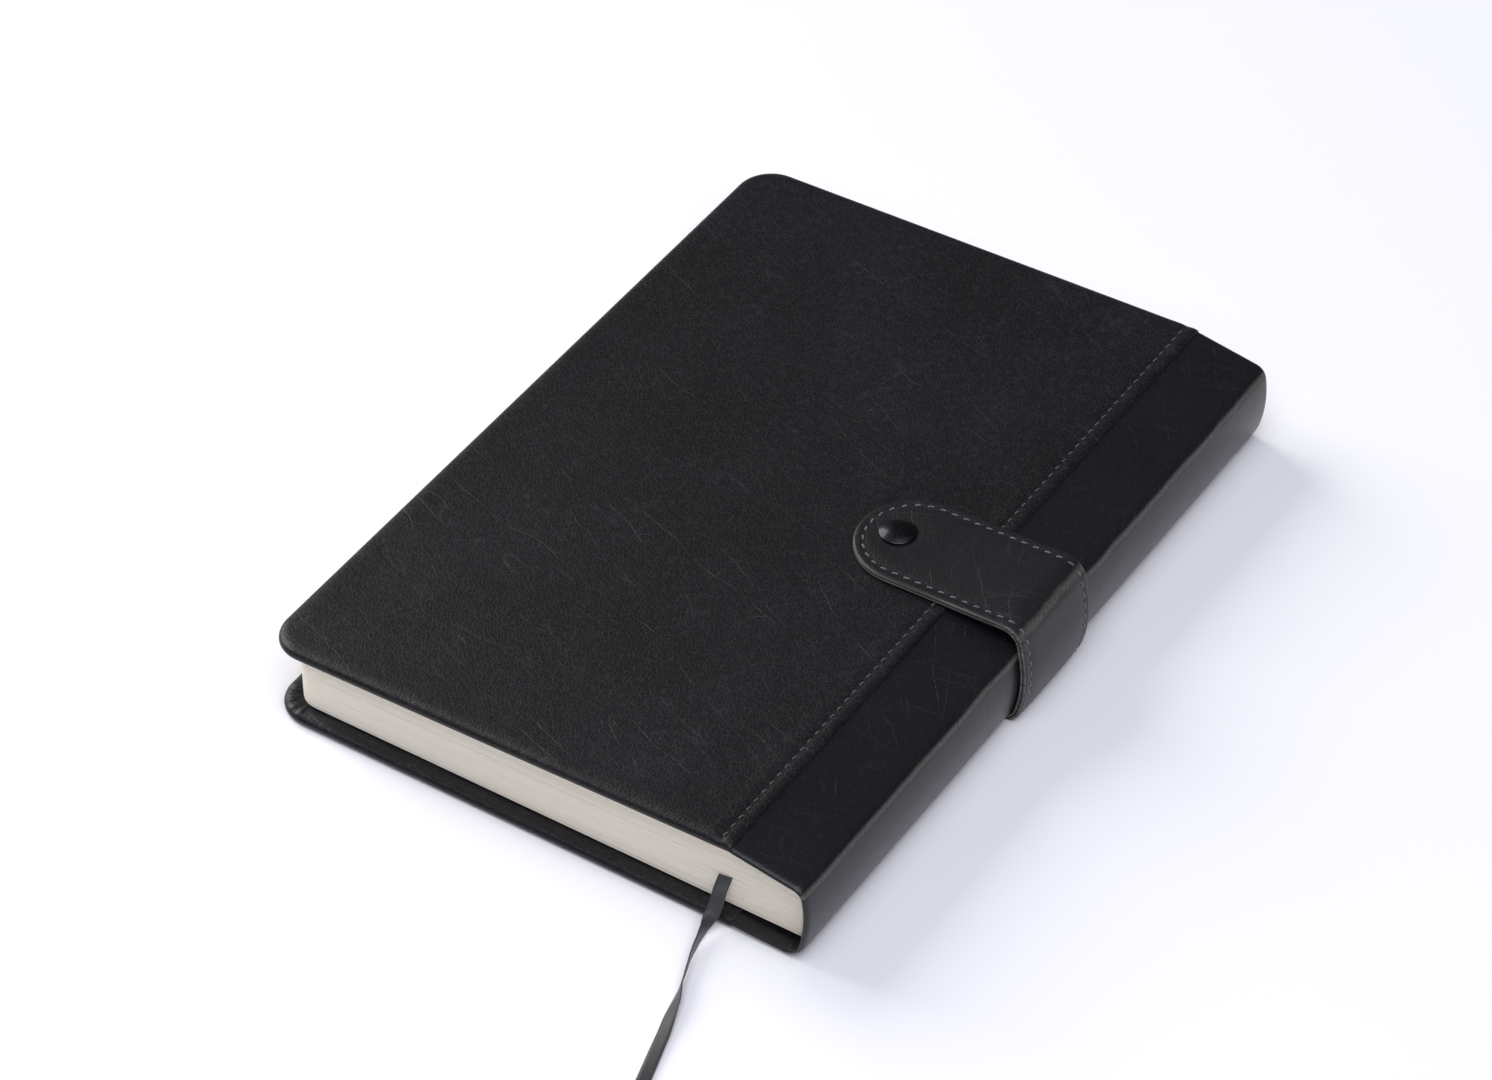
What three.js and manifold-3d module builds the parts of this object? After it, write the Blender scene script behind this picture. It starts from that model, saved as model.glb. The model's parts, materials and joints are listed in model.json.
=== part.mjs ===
// A padded leather notebook cover with its text block, marker ribbon and snap strap.
// Millimetres. Book coordinates: x from the fore-edge to the spine, y from tail to head, z up.
import * as THREE from "three";
import { mergeVertices } from "three/addons/utils/BufferGeometryUtils.js";
import Module from "manifold-3d";

const wasm = await Module();
wasm.setup();

// ---- Driving dimensions ----
const coverLength = 215;
const coverWidth = 151.1;
const foreEdgeHeight = 23.8;
const seamHeight = 27.04;
const seamX = 130.4;
const cornerRadius = 9.6;

const leatherThickness = 0.9;
const foamThickness = 0.65;
const boardThickness = 0.95;
const turnInThickness = 0.35;
const turnInWidth = 12;
const pastedownThickness = 0.15;
const pastedownMargin = 5;
const flyleafThickness = 0.12;

const wrapThickness = 0.6;
const wrapTuck = 6.4;
const linerThickness = 0.55;
const liningThickness = 0.25;
const backPanelHeight = 0.4;
const frontPanelDrop = 3.74;
const tailCornerRadius = 5.5;
const topCornerRadius = 4.05;
const sideStartDegrees = 75;
const sideEndDegrees = 100;
const panelDegrees = 170;

const square = 4.36;
const leafCornerRadius = 6.24;
const signaturesPerHalf = 6;
const ribbonSignature = 5;
const ribbonSlot = 0.45;
const ribbonWidth = 4;
const ribbonThickness = 0.2;
const ribbonCordRadius = 0.4;
const ribbonCordSides = 8;
const ribbonCordSteps = 60;

const strapWidth = 30;
const strapReach = 32.1;
const strapLift = 0.3;
const strapLiningThickness = 0.7;
const strapCoreThickness = 0.35;
const strapLeatherThickness = 0.8;
const strapCoreInset = 3.4;
const strapBendRadius = 4;
const strapTailReach = 12;
const strapSkive = 0.3;

const snapInset = 10;
const capRadius = 4.7;
const capHeight = 1.5;
const capEdgeHeight = 0.375;
const capDomeSteps = 6;
const shankRadius = 1.4;
const socketRadius = 4.1;
const socketWeb = 0.25;
const nippleRadius = 2;
const studFlange = 0.2;
const postRadius = 1.1;
const postHeadRadius = 3.3;
const postHeadThickness = 0.38;

const threadInset = 3.05;
const threadWidth = 0.5;
const threadThickness = 0.25;
const strapThreadInset = 2.1;

const gap = 0.05;
const handlingGap = 0.3;
const bandGap = 0.08;
const arcStepDegrees = 9;
const smallestCorner = 1;
const cornerSegments = 10;
const turnedSegments = 28;
const mergeTolerance = 1e-4;

// ---- Derived sizes ----
const coverDepth = leatherThickness + foamThickness + boardThickness + turnInThickness + 3 * gap;
const innerDepth = coverDepth + gap + pastedownThickness;
const blockDepth = innerDepth + gap + flyleafThickness + gap;
const boardDepth = leatherThickness + gap + Math.max(foamThickness, wrapThickness + gap) + gap;
const wrapInnerDepth = wrapThickness + gap + linerThickness + gap + turnInThickness;
const frontSlope = (seamHeight - foreEdgeHeight) / seamX;
const frontDegrees = 180 + THREE.MathUtils.radToDeg(Math.atan(frontSlope));
const strapThickness = strapLiningThickness + strapCoreThickness + strapLeatherThickness + 2 * gap;
const strapY = coverLength / 2;
const overallWidth = coverWidth + bandGap + strapThickness;
const beyond = 20;

const frontOuter = (x) => foreEdgeHeight + frontSlope * x;
const levels = {
  back: (x, depth) => depth,
  front: (x, depth) => frontOuter(x) - depth,
};
const rad = THREE.MathUtils.degToRad;

// ---- Solids ----
function toSolid(geometry) {
  const bare = geometry.clone();
  bare.deleteAttribute("normal");
  bare.deleteAttribute("uv");
  const merged = mergeVertices(bare, mergeTolerance);
  const vertProperties = merged.attributes.position.array;
  const triVerts = new Uint32Array(merged.index.array);
  return new wasm.Manifold(new wasm.Mesh({ numProp: 3, vertProperties, triVerts }));
}

function toGeometry(solid) {
  const mesh = solid.getMesh();
  const geometry = new THREE.BufferGeometry();
  geometry.setAttribute("position", new THREE.BufferAttribute(mesh.vertProperties, 3));
  geometry.setIndex(new THREE.BufferAttribute(mesh.triVerts, 1));
  geometry.computeVertexNormals();
  return geometry;
}

function extrude(shape, depth) {
  return new THREE.ExtrudeGeometry(shape, { depth, bevelEnabled: false, curveSegments: cornerSegments });
}

// A section in x and z, run along y.
function prismAlong(points, fromY, toY) {
  const shape = new THREE.Shape(points.map((p) => new THREE.Vector2(p.x, p.z)));
  const geometry = extrude(shape, toY - fromY);
  geometry.rotateX(Math.PI / 2);
  geometry.translate(0, toY, 0);
  return toSolid(geometry);
}

// A plan outline in x and y, run up z.
function prismUp(shape, fromZ = -beyond, toZ = seamHeight + beyond) {
  const geometry = extrude(shape, toZ - fromZ);
  geometry.translate(0, 0, fromZ);
  return toSolid(geometry);
}

// A turned profile of [radius, height] pairs that closes on the axis or on itself.
function turned(profile, x, y, z) {
  const points = profile.map(([radius, height]) => new THREE.Vector2(radius, height));
  const geometry = new THREE.LatheGeometry(points, turnedSegments);
  geometry.rotateX(Math.PI / 2);
  geometry.translate(x, y, z);
  return toSolid(geometry);
}

function disc(radius, x, y, fromZ, toZ) {
  return turned([[0, 0], [radius, 0], [radius, toZ - fromZ], [0, toZ - fromZ]], x, y, fromZ);
}

// A sheet between two depths under the outside of one cover.
function slab(side, fromDepth, toDepth, fromX = -beyond, toX = seamX) {
  const level = levels[side];
  const corners = [[fromX, fromDepth], [toX, fromDepth], [toX, toDepth], [fromX, toDepth]];
  const points = corners.map(([x, depth]) => ({ x, z: level(x, depth) }));
  return prismAlong(points, -beyond, coverLength + beyond);
}

// The plan of a cover or a leaf, with its two fore-edge corners rounded.
function plan(inset, radius, toX) {
  const r = Math.max(radius, smallestCorner);
  const shape = new THREE.Shape();
  shape.moveTo(toX, inset);
  shape.lineTo(toX, coverLength - inset);
  shape.lineTo(inset + r, coverLength - inset);
  shape.absarc(inset + r, coverLength - inset - r, r, Math.PI / 2, Math.PI);
  shape.lineTo(inset, inset + r);
  shape.absarc(inset + r, inset + r, r, Math.PI, Math.PI * 1.5);
  shape.closePath();
  return shape;
}

const coverPlan = (inset, toX = seamX + beyond) => prismUp(plan(inset, cornerRadius - inset, toX));

// ---- The line that the wrap leather follows round the spine ----
function arcPoints(start, radius, fromDegrees, toDegrees) {
  const count = Math.max(2, Math.ceil((toDegrees - fromDegrees) / arcStepDegrees));
  const points = [];
  for (let i = 1; i <= count; i += 1) {
    const h = rad(fromDegrees + ((toDegrees - fromDegrees) * i) / count);
    const x = start.x + radius * (Math.sin(h) - Math.sin(rad(fromDegrees)));
    const z = start.z + radius * (Math.cos(rad(fromDegrees)) - Math.cos(h));
    points.push({ x, z });
  }
  return points;
}

const riseOf = (radius, from, to) => radius * (Math.cos(rad(from)) - Math.cos(rad(to)));
const tuckDepth = leatherThickness + gap;
const panelStartZ = seamHeight - frontPanelDrop;
const tailRise = riseOf(tailCornerRadius, 0, sideStartDegrees);
const topRise = riseOf(topCornerRadius, sideEndDegrees, panelDegrees);
const bulgeRise = panelStartZ - backPanelHeight - tailRise - topRise;
const bulgeRadius = bulgeRise / riseOf(1, sideStartDegrees, sideEndDegrees);
const bulgeSwell = bulgeRadius * (1 - Math.sin(rad(sideStartDegrees)));
const tailCornerX = coverWidth - bulgeSwell - tailCornerRadius * Math.sin(rad(sideStartDegrees));
const tailCornerStart = { x: tailCornerX, z: backPanelHeight };
const tailCorner = arcPoints(tailCornerStart, tailCornerRadius, 0, sideStartDegrees);
const sideStart = tailCorner.at(-1);
const side = arcPoints(sideStart, bulgeRadius, sideStartDegrees, sideEndDegrees);
const sideEnd = side.at(-1);
const topCorner = arcPoints(sideEnd, topCornerRadius, sideEndDegrees, panelDegrees);
const topCornerEnd = topCorner.at(-1);
const seamEdgeX = seamX + gap * 2;
const wrapLine = [
  { x: seamX - wrapTuck, z: tuckDepth },
  { x: seamEdgeX, z: tuckDepth },
  tailCornerStart,
  ...tailCorner,
  ...side,
  ...topCorner,
  { x: seamEdgeX, z: frontOuter(seamEdgeX) - tuckDepth },
  { x: seamX - wrapTuck, z: frontOuter(seamX - wrapTuck) - tuckDepth },
];

// Moves each point of a line to its left by a distance, which may change along the line.
function offsetLine(line, distance) {
  const amount = typeof distance === "function" ? distance : () => distance;
  return line.map((point, i) => {
    const before = line[Math.max(i - 1, 0)];
    const after = line[Math.min(i + 1, line.length - 1)];
    const first = new THREE.Vector2(point.x - before.x, point.z - before.z).normalize();
    const second = new THREE.Vector2(after.x - point.x, after.z - point.z).normalize();
    const along = first.clone().add(second).normalize();
    const whole = i > 0 && i < line.length - 1;
    const stretch = whole ? 1 / along.dot(second) : 1;
    const move = amount(i) * stretch;
    return { x: point.x - along.y * move, z: point.z + along.x * move };
  });
}

const bandBetween = (near, far) => [...near, ...far.slice().reverse()];

// The closed section inside the wrap line at a depth, open towards the fore-edge.
function insideWrap(depth, fromX = -beyond) {
  const line = offsetLine(wrapLine, depth);
  return [{ x: fromX, z: line[0].z }, ...line, { x: fromX, z: line.at(-1).z }];
}

const whole = [-beyond, coverLength + beyond];

// ---- Covers ----
function panelLeather(side) {
  const skin = slab(side, 0, coverDepth).intersect(coverPlan(0));
  const pocket = slab(side, leatherThickness, coverDepth - turnInThickness, -beyond, seamX + beyond);
  const opening = slab(side, coverDepth - turnInThickness - gap, coverDepth + 1, -beyond, seamX + beyond);
  const grooveFrom = seamX - threadInset - threadWidth / 2 - gap;
  const grooveTo = seamX - threadInset + threadWidth / 2 + gap;
  const groove = slab(side, -1, threadThickness + 2 * gap, grooveFrom, grooveTo);
  return skin
    .subtract(pocket.intersect(coverPlan(leatherThickness)))
    .subtract(opening.intersect(coverPlan(turnInWidth)))
    .subtract(groove);
}

function seamThread(side) {
  const fromX = seamX - threadInset - threadWidth / 2;
  const bar = slab(side, gap, gap + threadThickness, fromX, fromX + threadWidth);
  return bar.intersect(coverPlan(gap));
}

function foamPad(side) {
  const depth = leatherThickness + gap;
  const pad = slab(side, depth, depth + foamThickness, -beyond, seamX - wrapTuck - 2 * gap);
  return pad.intersect(coverPlan(leatherThickness + gap));
}

function board(side) {
  return slab(side, boardDepth, boardDepth + boardThickness).intersect(coverPlan(leatherThickness + gap));
}

function pastedown(side) {
  const filling = slab(side, boardDepth + boardThickness + gap, innerDepth);
  const margin = slab(side, coverDepth + gap, innerDepth);
  return filling
    .intersect(coverPlan(turnInWidth + gap))
    .add(margin.intersect(coverPlan(pastedownMargin)));
}

// ---- Wrap leather, stiffener and panel liners ----
function wrapLeather() {
  const turnIn = insideWrap(wrapThickness + linerThickness + 2 * gap);
  const hollow = insideWrap(wrapInnerDepth);
  const shell = prismAlong(insideWrap(0), 0, coverLength)
    .subtract(prismAlong(insideWrap(wrapThickness), wrapThickness, coverLength - wrapThickness))
    .add(prismAlong(turnIn, 0, turnInWidth))
    .add(prismAlong(turnIn, coverLength - turnInWidth, coverLength))
    .subtract(prismAlong(hollow, ...whole));
  const tuckFrom = seamX - wrapTuck;
  const underPanels = prismAlong(insideWrap(wrapThickness), ...whole);
  const tuckBlock = slab("back", -beyond, seamHeight + beyond, -2 * beyond, seamEdgeX);
  const tuckEnds = tuckBlock.subtract(prismAlong(
    [{ x: -3 * beyond, z: -2 * beyond }, { x: coverWidth * 2, z: -2 * beyond },
      { x: coverWidth * 2, z: 3 * beyond }, { x: -3 * beyond, z: 3 * beyond }],
    leatherThickness + gap,
    coverLength - leatherThickness - gap,
  ));
  const foreBlock = slab("back", -beyond, seamHeight + beyond, -2 * beyond, tuckFrom);
  return shell
    .subtract(underPanels.intersect(tuckBlock))
    .subtract(tuckEnds)
    .subtract(foreBlock);
}

// A strip that backs the wrap leather between two stations on its line.
function wrapStrip(line, fromDepth, toDepth, endInset) {
  const section = bandBetween(offsetLine(line, fromDepth), offsetLine(line, toDepth));
  return prismAlong(section, endInset, coverLength - endInset);
}

const linerDepth = wrapThickness + gap;
const linerLines = {
  back: [{ x: seamEdgeX + handlingGap, z: tuckDepth }, { x: tailCornerX - handlingGap, z: backPanelHeight }],
  spine: [sideStart, ...side].slice(0, -1),
  front: [
    { x: topCornerEnd.x - handlingGap, z: topCornerEnd.z },
    { x: seamEdgeX + handlingGap, z: frontOuter(seamEdgeX) - tuckDepth },
  ],
};
const liner = (line) => wrapStrip(line, linerDepth, linerDepth + linerThickness, wrapThickness + gap);

// ---- Text block ----
const blockPlan = prismUp(plan(square, leafCornerRadius, coverWidth + beyond));
const blockEnvelope = prismAlong(insideWrap(wrapInnerDepth + 3 * gap + liningThickness), ...whole)
  .intersect(blockPlan);
const blockLevel = (x, share) => blockDepth + share * (frontOuter(x) - 2 * blockDepth);
const signatureCount = signaturesPerHalf * 2;

function blockSlab(fromShare, toShare, fromGap, toGap) {
  const farX = coverWidth + beyond;
  return prismAlong(
    [
      { x: -beyond, z: blockLevel(-beyond, fromShare) + fromGap },
      { x: farX, z: blockLevel(farX, fromShare) + fromGap },
      { x: farX, z: blockLevel(farX, toShare) - toGap },
      { x: -beyond, z: blockLevel(-beyond, toShare) - toGap },
    ],
    ...whole,
  );
}

function signature(index) {
  const under = index === ribbonSignature ? ribbonSlot / 2 : gap / 2;
  const over = index === ribbonSignature - 1 ? ribbonSlot / 2 : gap / 2;
  const layer = blockSlab(index / signatureCount, (index + 1) / signatureCount, under, over);
  return layer.intersect(blockEnvelope);
}

function flyleaf(side) {
  const sheet = slab(side, innerDepth + gap, innerDepth + gap + flyleafThickness, -beyond, seamX);
  return sheet.intersect(blockPlan);
}

function spineLining(fromShare, toShare) {
  const line = [tailCorner.at(-2), sideStart, ...side, topCorner[0]];
  const depth = wrapInnerDepth + 2 * gap;
  const strip = wrapStrip(line, depth, depth + liningThickness, square);
  return strip.intersect(blockSlab(fromShare, toShare, gap / 2, gap / 2));
}

// ---- Marker ribbon ----
const ribbonShare = ribbonSignature / signatureCount;
const ribbonX = 126.6;
const ribbonZ = blockLevel(ribbonX, ribbonShare);

function ribbonInside() {
  const low = -ribbonThickness / 2;
  const shape = new THREE.Shape();
  shape.moveTo(-ribbonWidth / 2, square + handlingGap);
  shape.lineTo(ribbonWidth / 2, square + handlingGap);
  shape.lineTo(ribbonWidth / 2, coverLength - square - handlingGap);
  shape.lineTo(-ribbonWidth / 2, coverLength - square - handlingGap);
  shape.closePath();
  const geometry = extrude(shape, ribbonThickness);
  geometry.translate(ribbonX, 0, ribbonZ + low);
  return toSolid(geometry);
}

// The free part of the ribbon: out of the tail, over the back cover's edge and along the table.
const ribbonRoute = [
  [126.6, 4.2, 11.8],
  [126.9, 1.4, 9.9],
  [126.9, -0.4, 6.6],
  [126.6, -2.4, 3.8],
  [126.7, -5.0, 1.9],
  [127.2, -8.2, 0.9],
  [128.1, -12.2, 0.5],
  [129.7, -16.8, 0.45],
  [131.2, -21.2, 0.45],
  [132.8, -25.6, 0.45],
  [134.1, -30.1, 0.45],
  [135.5, -34.5, 0.45],
  [136.8, -39.3, 0.45],
  [138.1, -44.1, 0.45],
  [139.3, -48.6, 0.45],
  [140.4, -53.1, 0.45],
  [141.5, -57.5, 0.45],
  [142.6, -62.3, 0.45],
  [143.4, -67.0, 0.45],
  [143.9, -71.8, 0.45],
];

function ribbonOutside() {
  const curve = new THREE.CatmullRomCurve3(ribbonRoute.map((p) => new THREE.Vector3(...p)));
  const section = new THREE.Shape();
  for (let i = 0; i < ribbonCordSides; i += 1) {
    const angle = (i / ribbonCordSides) * Math.PI * 2;
    const x = ribbonCordRadius * Math.cos(angle);
    const y = ribbonCordRadius * Math.sin(angle);
    if (i === 0) section.moveTo(x, y);
    else section.lineTo(x, y);
  }
  section.closePath();
  const settings = { steps: ribbonCordSteps, bevelEnabled: false, extrudePath: curve };
  return new THREE.ExtrudeGeometry(section, settings);
}

// ---- Strap ----
const sideTop = offsetLine([side.at(-2), sideEnd], -bandGap)[1];
const bendRise = riseOf(strapBendRadius, sideEndDegrees, frontDegrees);
const bendRun = strapBendRadius * (Math.sin(rad(frontDegrees)) - Math.sin(rad(sideEndDegrees)));
const bendTarget = foreEdgeHeight + strapLift + frontSlope * (sideTop.x + bendRun);
const straightRun = (bendTarget - sideTop.z - bendRise)
  / (Math.sin(rad(sideEndDegrees)) - frontSlope * Math.cos(rad(sideEndDegrees)));
const bendStart = {
  x: sideTop.x + straightRun * Math.cos(rad(sideEndDegrees)),
  z: sideTop.z + straightRun * Math.sin(rad(sideEndDegrees)),
};
const bend = arcPoints(bendStart, strapBendRadius, sideEndDegrees, frontDegrees);
const strapHinge = bend.at(-1);
const strapTailStart = { x: tailCornerX - strapTailReach, z: wrapLineZ(tailCornerX - strapTailReach) };
const strapWrapPart = [strapTailStart, tailCornerStart, ...tailCorner, ...side];
const strapLine = [...offsetLine(strapWrapPart, -bandGap), bendStart, ...bend];
const skivedCount = 2 + Math.ceil(tailCorner.length / 2);

// The height of the back wrap panel's outside at x.
function wrapLineZ(x) {
  const share = (x - seamEdgeX) / (tailCornerX - seamEdgeX);
  return tuckDepth + (backPanelHeight - tuckDepth) * share;
}

// How much of the strap's full thickness is left at a point of its line: the tail is pared thin.
function skive(index) {
  const thin = strapSkive / strapThickness;
  if (index < 2) return thin;
  if (index >= skivedCount) return 1;
  return thin + (1 - thin) * ((index - 1) / (skivedCount - 1)) ** 2;
}

function strapLayer(fromHeight, toHeight) {
  const near = offsetLine(strapLine, (i) => -fromHeight * skive(i));
  const far = offsetLine(strapLine, (i) => -toHeight * skive(i));
  const section = bandBetween(near, far);
  return prismAlong(section, strapY - strapWidth / 2, strapY + strapWidth / 2);
}

const tipCentreX = seamX - strapReach + strapWidth / 2;

// The flap's plan, from just past the bend to the round tip.
function flapPlan(inset, toX) {
  const radius = strapWidth / 2 - inset;
  const shape = new THREE.Shape();
  shape.moveTo(toX, strapY - radius);
  shape.lineTo(toX, strapY + radius);
  shape.lineTo(tipCentreX, strapY + radius);
  shape.absarc(tipCentreX, strapY, radius, Math.PI / 2, Math.PI * 1.5);
  shape.closePath();
  return prismUp(shape);
}

function flapSlab(fromHeight, toHeight, inset) {
  const sheet = slab("front", -strapLift - fromHeight, -strapLift - toHeight, -beyond, coverWidth);
  return sheet.intersect(flapPlan(inset, strapHinge.x - gap));
}

const liningTop = strapLiningThickness;
const coreBottom = liningTop + gap;
const coreTop = coreBottom + strapCoreThickness;
const flapLeatherBottom = coreTop + gap;
const bandSplit = liningTop + strapCoreThickness / 2;

const snapX = seamX - strapReach + snapInset;
const strapBase = frontOuter(snapX) + strapLift;
const snapBore = (radius) => disc(radius, snapX, strapY, strapBase - beyond, strapBase + beyond);
const pocketRadius = socketRadius + 4 * gap;
const shankHole = shankRadius + handlingGap;
const tiltGap = gap + frontSlope * capRadius;
const studLow = tiltGap - strapLift;
const studFlangeTop = studLow + studFlange;
const socketTop = coreTop - gap - frontSlope * socketRadius;
const socketWebLow = socketTop - socketWeb;

function strapThread() {
  const outer = flapSlab(strapThickness + gap, strapThickness + gap + threadThickness, strapThreadInset);
  const inner = flapPlan(strapThreadInset + threadWidth, coverWidth);
  return outer.subtract(inner);
}

function snapCap() {
  const base = strapThickness + tiltGap;
  const profile = [[0, coreBottom + gap], [shankRadius, coreBottom + gap], [shankRadius, base]];
  profile.push([capRadius, base], [capRadius, base + capEdgeHeight]);
  for (let i = 1; i < capDomeSteps; i += 1) {
    const angle = ((i / capDomeSteps) * Math.PI) / 2;
    const rise = (capHeight - capEdgeHeight) * Math.sin(angle);
    profile.push([capRadius * Math.cos(angle), base + capEdgeHeight + rise]);
  }
  profile.push([0, base + capHeight]);
  return turned(profile, snapX, strapY, strapBase);
}

function snapSocket() {
  const bore = nippleRadius + handlingGap;
  const low = studFlangeTop + 2 * gap;
  const profile = [[bore, low], [socketRadius, low], [socketRadius, socketTop]];
  profile.push([shankHole, socketTop], [shankHole, socketWebLow], [bore, socketWebLow], [bore, low]);
  return turned(profile, snapX, strapY, strapBase);
}

function snapStud() {
  const top = socketWebLow - 2 * gap;
  const flangeRadius = socketRadius - handlingGap;
  const profile = [[0, studLow], [flangeRadius, studLow], [flangeRadius, studFlangeTop]];
  profile.push([nippleRadius, studFlangeTop], [nippleRadius, top], [0, top]);
  return turned(profile, snapX, strapY, strapBase);
}

const postHeadDepth = boardDepth + boardThickness;

function snapPost() {
  const low = -strapLift - postHeadDepth + gap + frontSlope * postHeadRadius;
  const profile = [[0, low], [postHeadRadius, low], [postHeadRadius, low + postHeadThickness]];
  profile.push([postRadius, low + postHeadThickness], [postRadius, -strapLift], [0, -strapLift]);
  return turned(profile, snapX, strapY, strapBase);
}

const postHole = snapBore(postRadius + handlingGap);
const postPocket = disc(
  postHeadRadius + handlingGap,
  snapX,
  strapY,
  strapBase - strapLift - postHeadDepth - beyond,
  strapBase - strapLift - postHeadDepth + postHeadThickness + handlingGap,
);

// ---- The assembly ----
const book = new THREE.Group();
book.name = "book";
book.position.set(-overallWidth / 2, -coverLength / 2, 0);

function add(name, shape, color, roughness, metalness = 0) {
  const geometry = shape.isBufferGeometry ? shape : toGeometry(shape);
  const material = new THREE.MeshStandardMaterial({ color, roughness, metalness });
  const mesh = new THREE.Mesh(geometry, material);
  mesh.name = name;
  book.add(mesh);
}

for (const sideName of ["back", "front"]) {
  const isFront = sideName === "front";
  const bored = (solid) => (isFront ? solid.subtract(postHole) : solid);
  const drilledBoard = isFront ? bored(board(sideName)).subtract(postPocket) : board(sideName);
  add(`${sideName}_leather`, bored(panelLeather(sideName)), 0x2a2a2d, 0.62);
  add(`${sideName}_seam_thread`, seamThread(sideName), 0x55565a, 0.8);
  add(`${sideName}_foam`, bored(foamPad(sideName)), 0x8d8f94, 0.95);
  add(`${sideName}_board`, drilledBoard, 0x8a7b66, 0.9);
  add(`${sideName}_pastedown`, pastedown(sideName), 0x1d1d1f, 0.85);
  add(`${sideName}_flyleaf`, flyleaf(sideName), 0x1d1d1f, 0.85);
  add(`${sideName}_hinge_liner`, liner(linerLines[sideName]), 0x6f6a60, 0.9);
}

add("spine_leather", wrapLeather(), 0x1e2022, 0.5);
add("spine_stiffener", liner(linerLines.spine), 0x6f6a60, 0.9);

for (let i = 0; i < signatureCount; i += 1) {
  const half = i < signaturesPerHalf ? "rear" : "front";
  add(`${half}_signature_${(i % signaturesPerHalf) + 1}`, signature(i), 0xd6cfc6, 0.9);
}
add("rear_spine_lining", spineLining(0, 0.5), 0xcfc8ba, 0.95);
add("front_spine_lining", spineLining(0.5, 1), 0xcfc8ba, 0.95);
add("ribbon_inside", ribbonInside(), 0x2a2b2e, 0.55);
add("marker_ribbon", ribbonOutside(), 0x2a2b2e, 0.55);

add("strap_band_lining", strapLayer(0, bandSplit), 0x242527, 0.6);
add("strap_band_leather", strapLayer(bandSplit + gap, strapThickness), 0x1e2022, 0.5);
add("strap_flap_lining", flapSlab(0, liningTop, 0).subtract(snapBore(pocketRadius)), 0x242527, 0.6);
const flapCore = flapSlab(coreBottom, coreTop, strapCoreInset);
add("strap_flap_core", flapCore.subtract(snapBore(pocketRadius)), 0x8a7b66, 0.9);
const flapLeather = flapSlab(flapLeatherBottom, strapThickness, 0);
add("strap_flap_leather", flapLeather.subtract(snapBore(shankHole)), 0x1e2022, 0.5);
add("strap_thread", strapThread(), 0x9a9a9c, 0.8);
add("snap_cap", snapCap(), 0x1a1b1d, 0.25, 0.8);
add("snap_socket", snapSocket(), 0x6a6b6e, 0.35, 1);
add("snap_stud", snapStud(), 0x6a6b6e, 0.35, 1);
add("snap_post", snapPost(), 0x6a6b6e, 0.35, 1);

const part = new THREE.Group();
part.name = "leather_notebook_cover";
part.add(book);

export default part;
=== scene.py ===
# %% [markdown]
# A padded leather notebook cover, closed with a strap and a snap.
#
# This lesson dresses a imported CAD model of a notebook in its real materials. The CAD
# model holds every size and every joint, so each piece here is built in the book's own
# millimetres and then moved into the model's frame by one function.

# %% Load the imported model
import json
import math
import random

import bmesh
import bpy
import numpy as np
from mathutils import Matrix, Vector, noise


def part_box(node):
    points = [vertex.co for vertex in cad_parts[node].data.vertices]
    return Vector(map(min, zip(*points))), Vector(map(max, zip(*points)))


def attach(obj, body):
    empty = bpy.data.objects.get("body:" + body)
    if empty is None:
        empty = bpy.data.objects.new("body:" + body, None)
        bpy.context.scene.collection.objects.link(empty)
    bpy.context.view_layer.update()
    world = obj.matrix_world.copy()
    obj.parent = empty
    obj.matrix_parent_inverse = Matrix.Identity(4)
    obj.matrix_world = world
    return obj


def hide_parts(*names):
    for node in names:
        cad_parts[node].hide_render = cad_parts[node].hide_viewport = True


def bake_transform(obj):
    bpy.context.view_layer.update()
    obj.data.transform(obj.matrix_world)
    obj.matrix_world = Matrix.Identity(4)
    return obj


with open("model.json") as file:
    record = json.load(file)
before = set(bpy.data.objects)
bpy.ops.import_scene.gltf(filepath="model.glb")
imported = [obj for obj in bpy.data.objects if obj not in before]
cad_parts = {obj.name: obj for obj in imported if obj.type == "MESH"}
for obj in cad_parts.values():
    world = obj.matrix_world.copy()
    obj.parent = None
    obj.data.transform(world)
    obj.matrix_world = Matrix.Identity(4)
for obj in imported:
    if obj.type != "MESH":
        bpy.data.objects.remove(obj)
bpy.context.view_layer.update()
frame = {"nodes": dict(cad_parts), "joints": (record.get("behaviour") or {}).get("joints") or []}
nodes = frame["nodes"]

# %% [markdown]
# Book coordinates run from the fore-edge to the spine, from the tail to the head, and up
# from the table. The back cover's box gives the place of their origin, and the boxes of
# the two covers give the sizes that the rest is drawn from.

# %% Sizes in book millimetres
MM = 0.001
back_low, back_high = (Vector(corner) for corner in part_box("back_leather"))
front_low, front_high = (Vector(corner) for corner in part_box("front_leather"))
ORIGIN = Vector((back_low.x, back_low.y, 0.0))
SEAM_X = (back_high.x - back_low.x) / MM
LENGTH = (back_high.y - back_low.y) / MM
COVER_DEPTH = (back_high.z - back_low.z) / MM
FORE_Z = front_low.z / MM + COVER_DEPTH
SEAM_Z = front_high.z / MM
SLOPE = (SEAM_Z - FORE_Z) / SEAM_X
joint_at = {j["name"]: Vector(j["pos_m"]) for j in frame["joints"]}


def to_book(point):
    """A point of the row frame, in book millimetres."""
    return (Vector(point) - ORIGIN) / MM


def to_frame(x, y, z):
    """A point in book millimetres, in the row frame."""
    return ORIGIN + Vector((x, y, z)) * MM


def level(side, x, depth):
    """The height of a sheet that lies `depth` under the outside of one cover."""
    return depth if side == "back" else FORE_Z + SLOPE * x - depth


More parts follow.
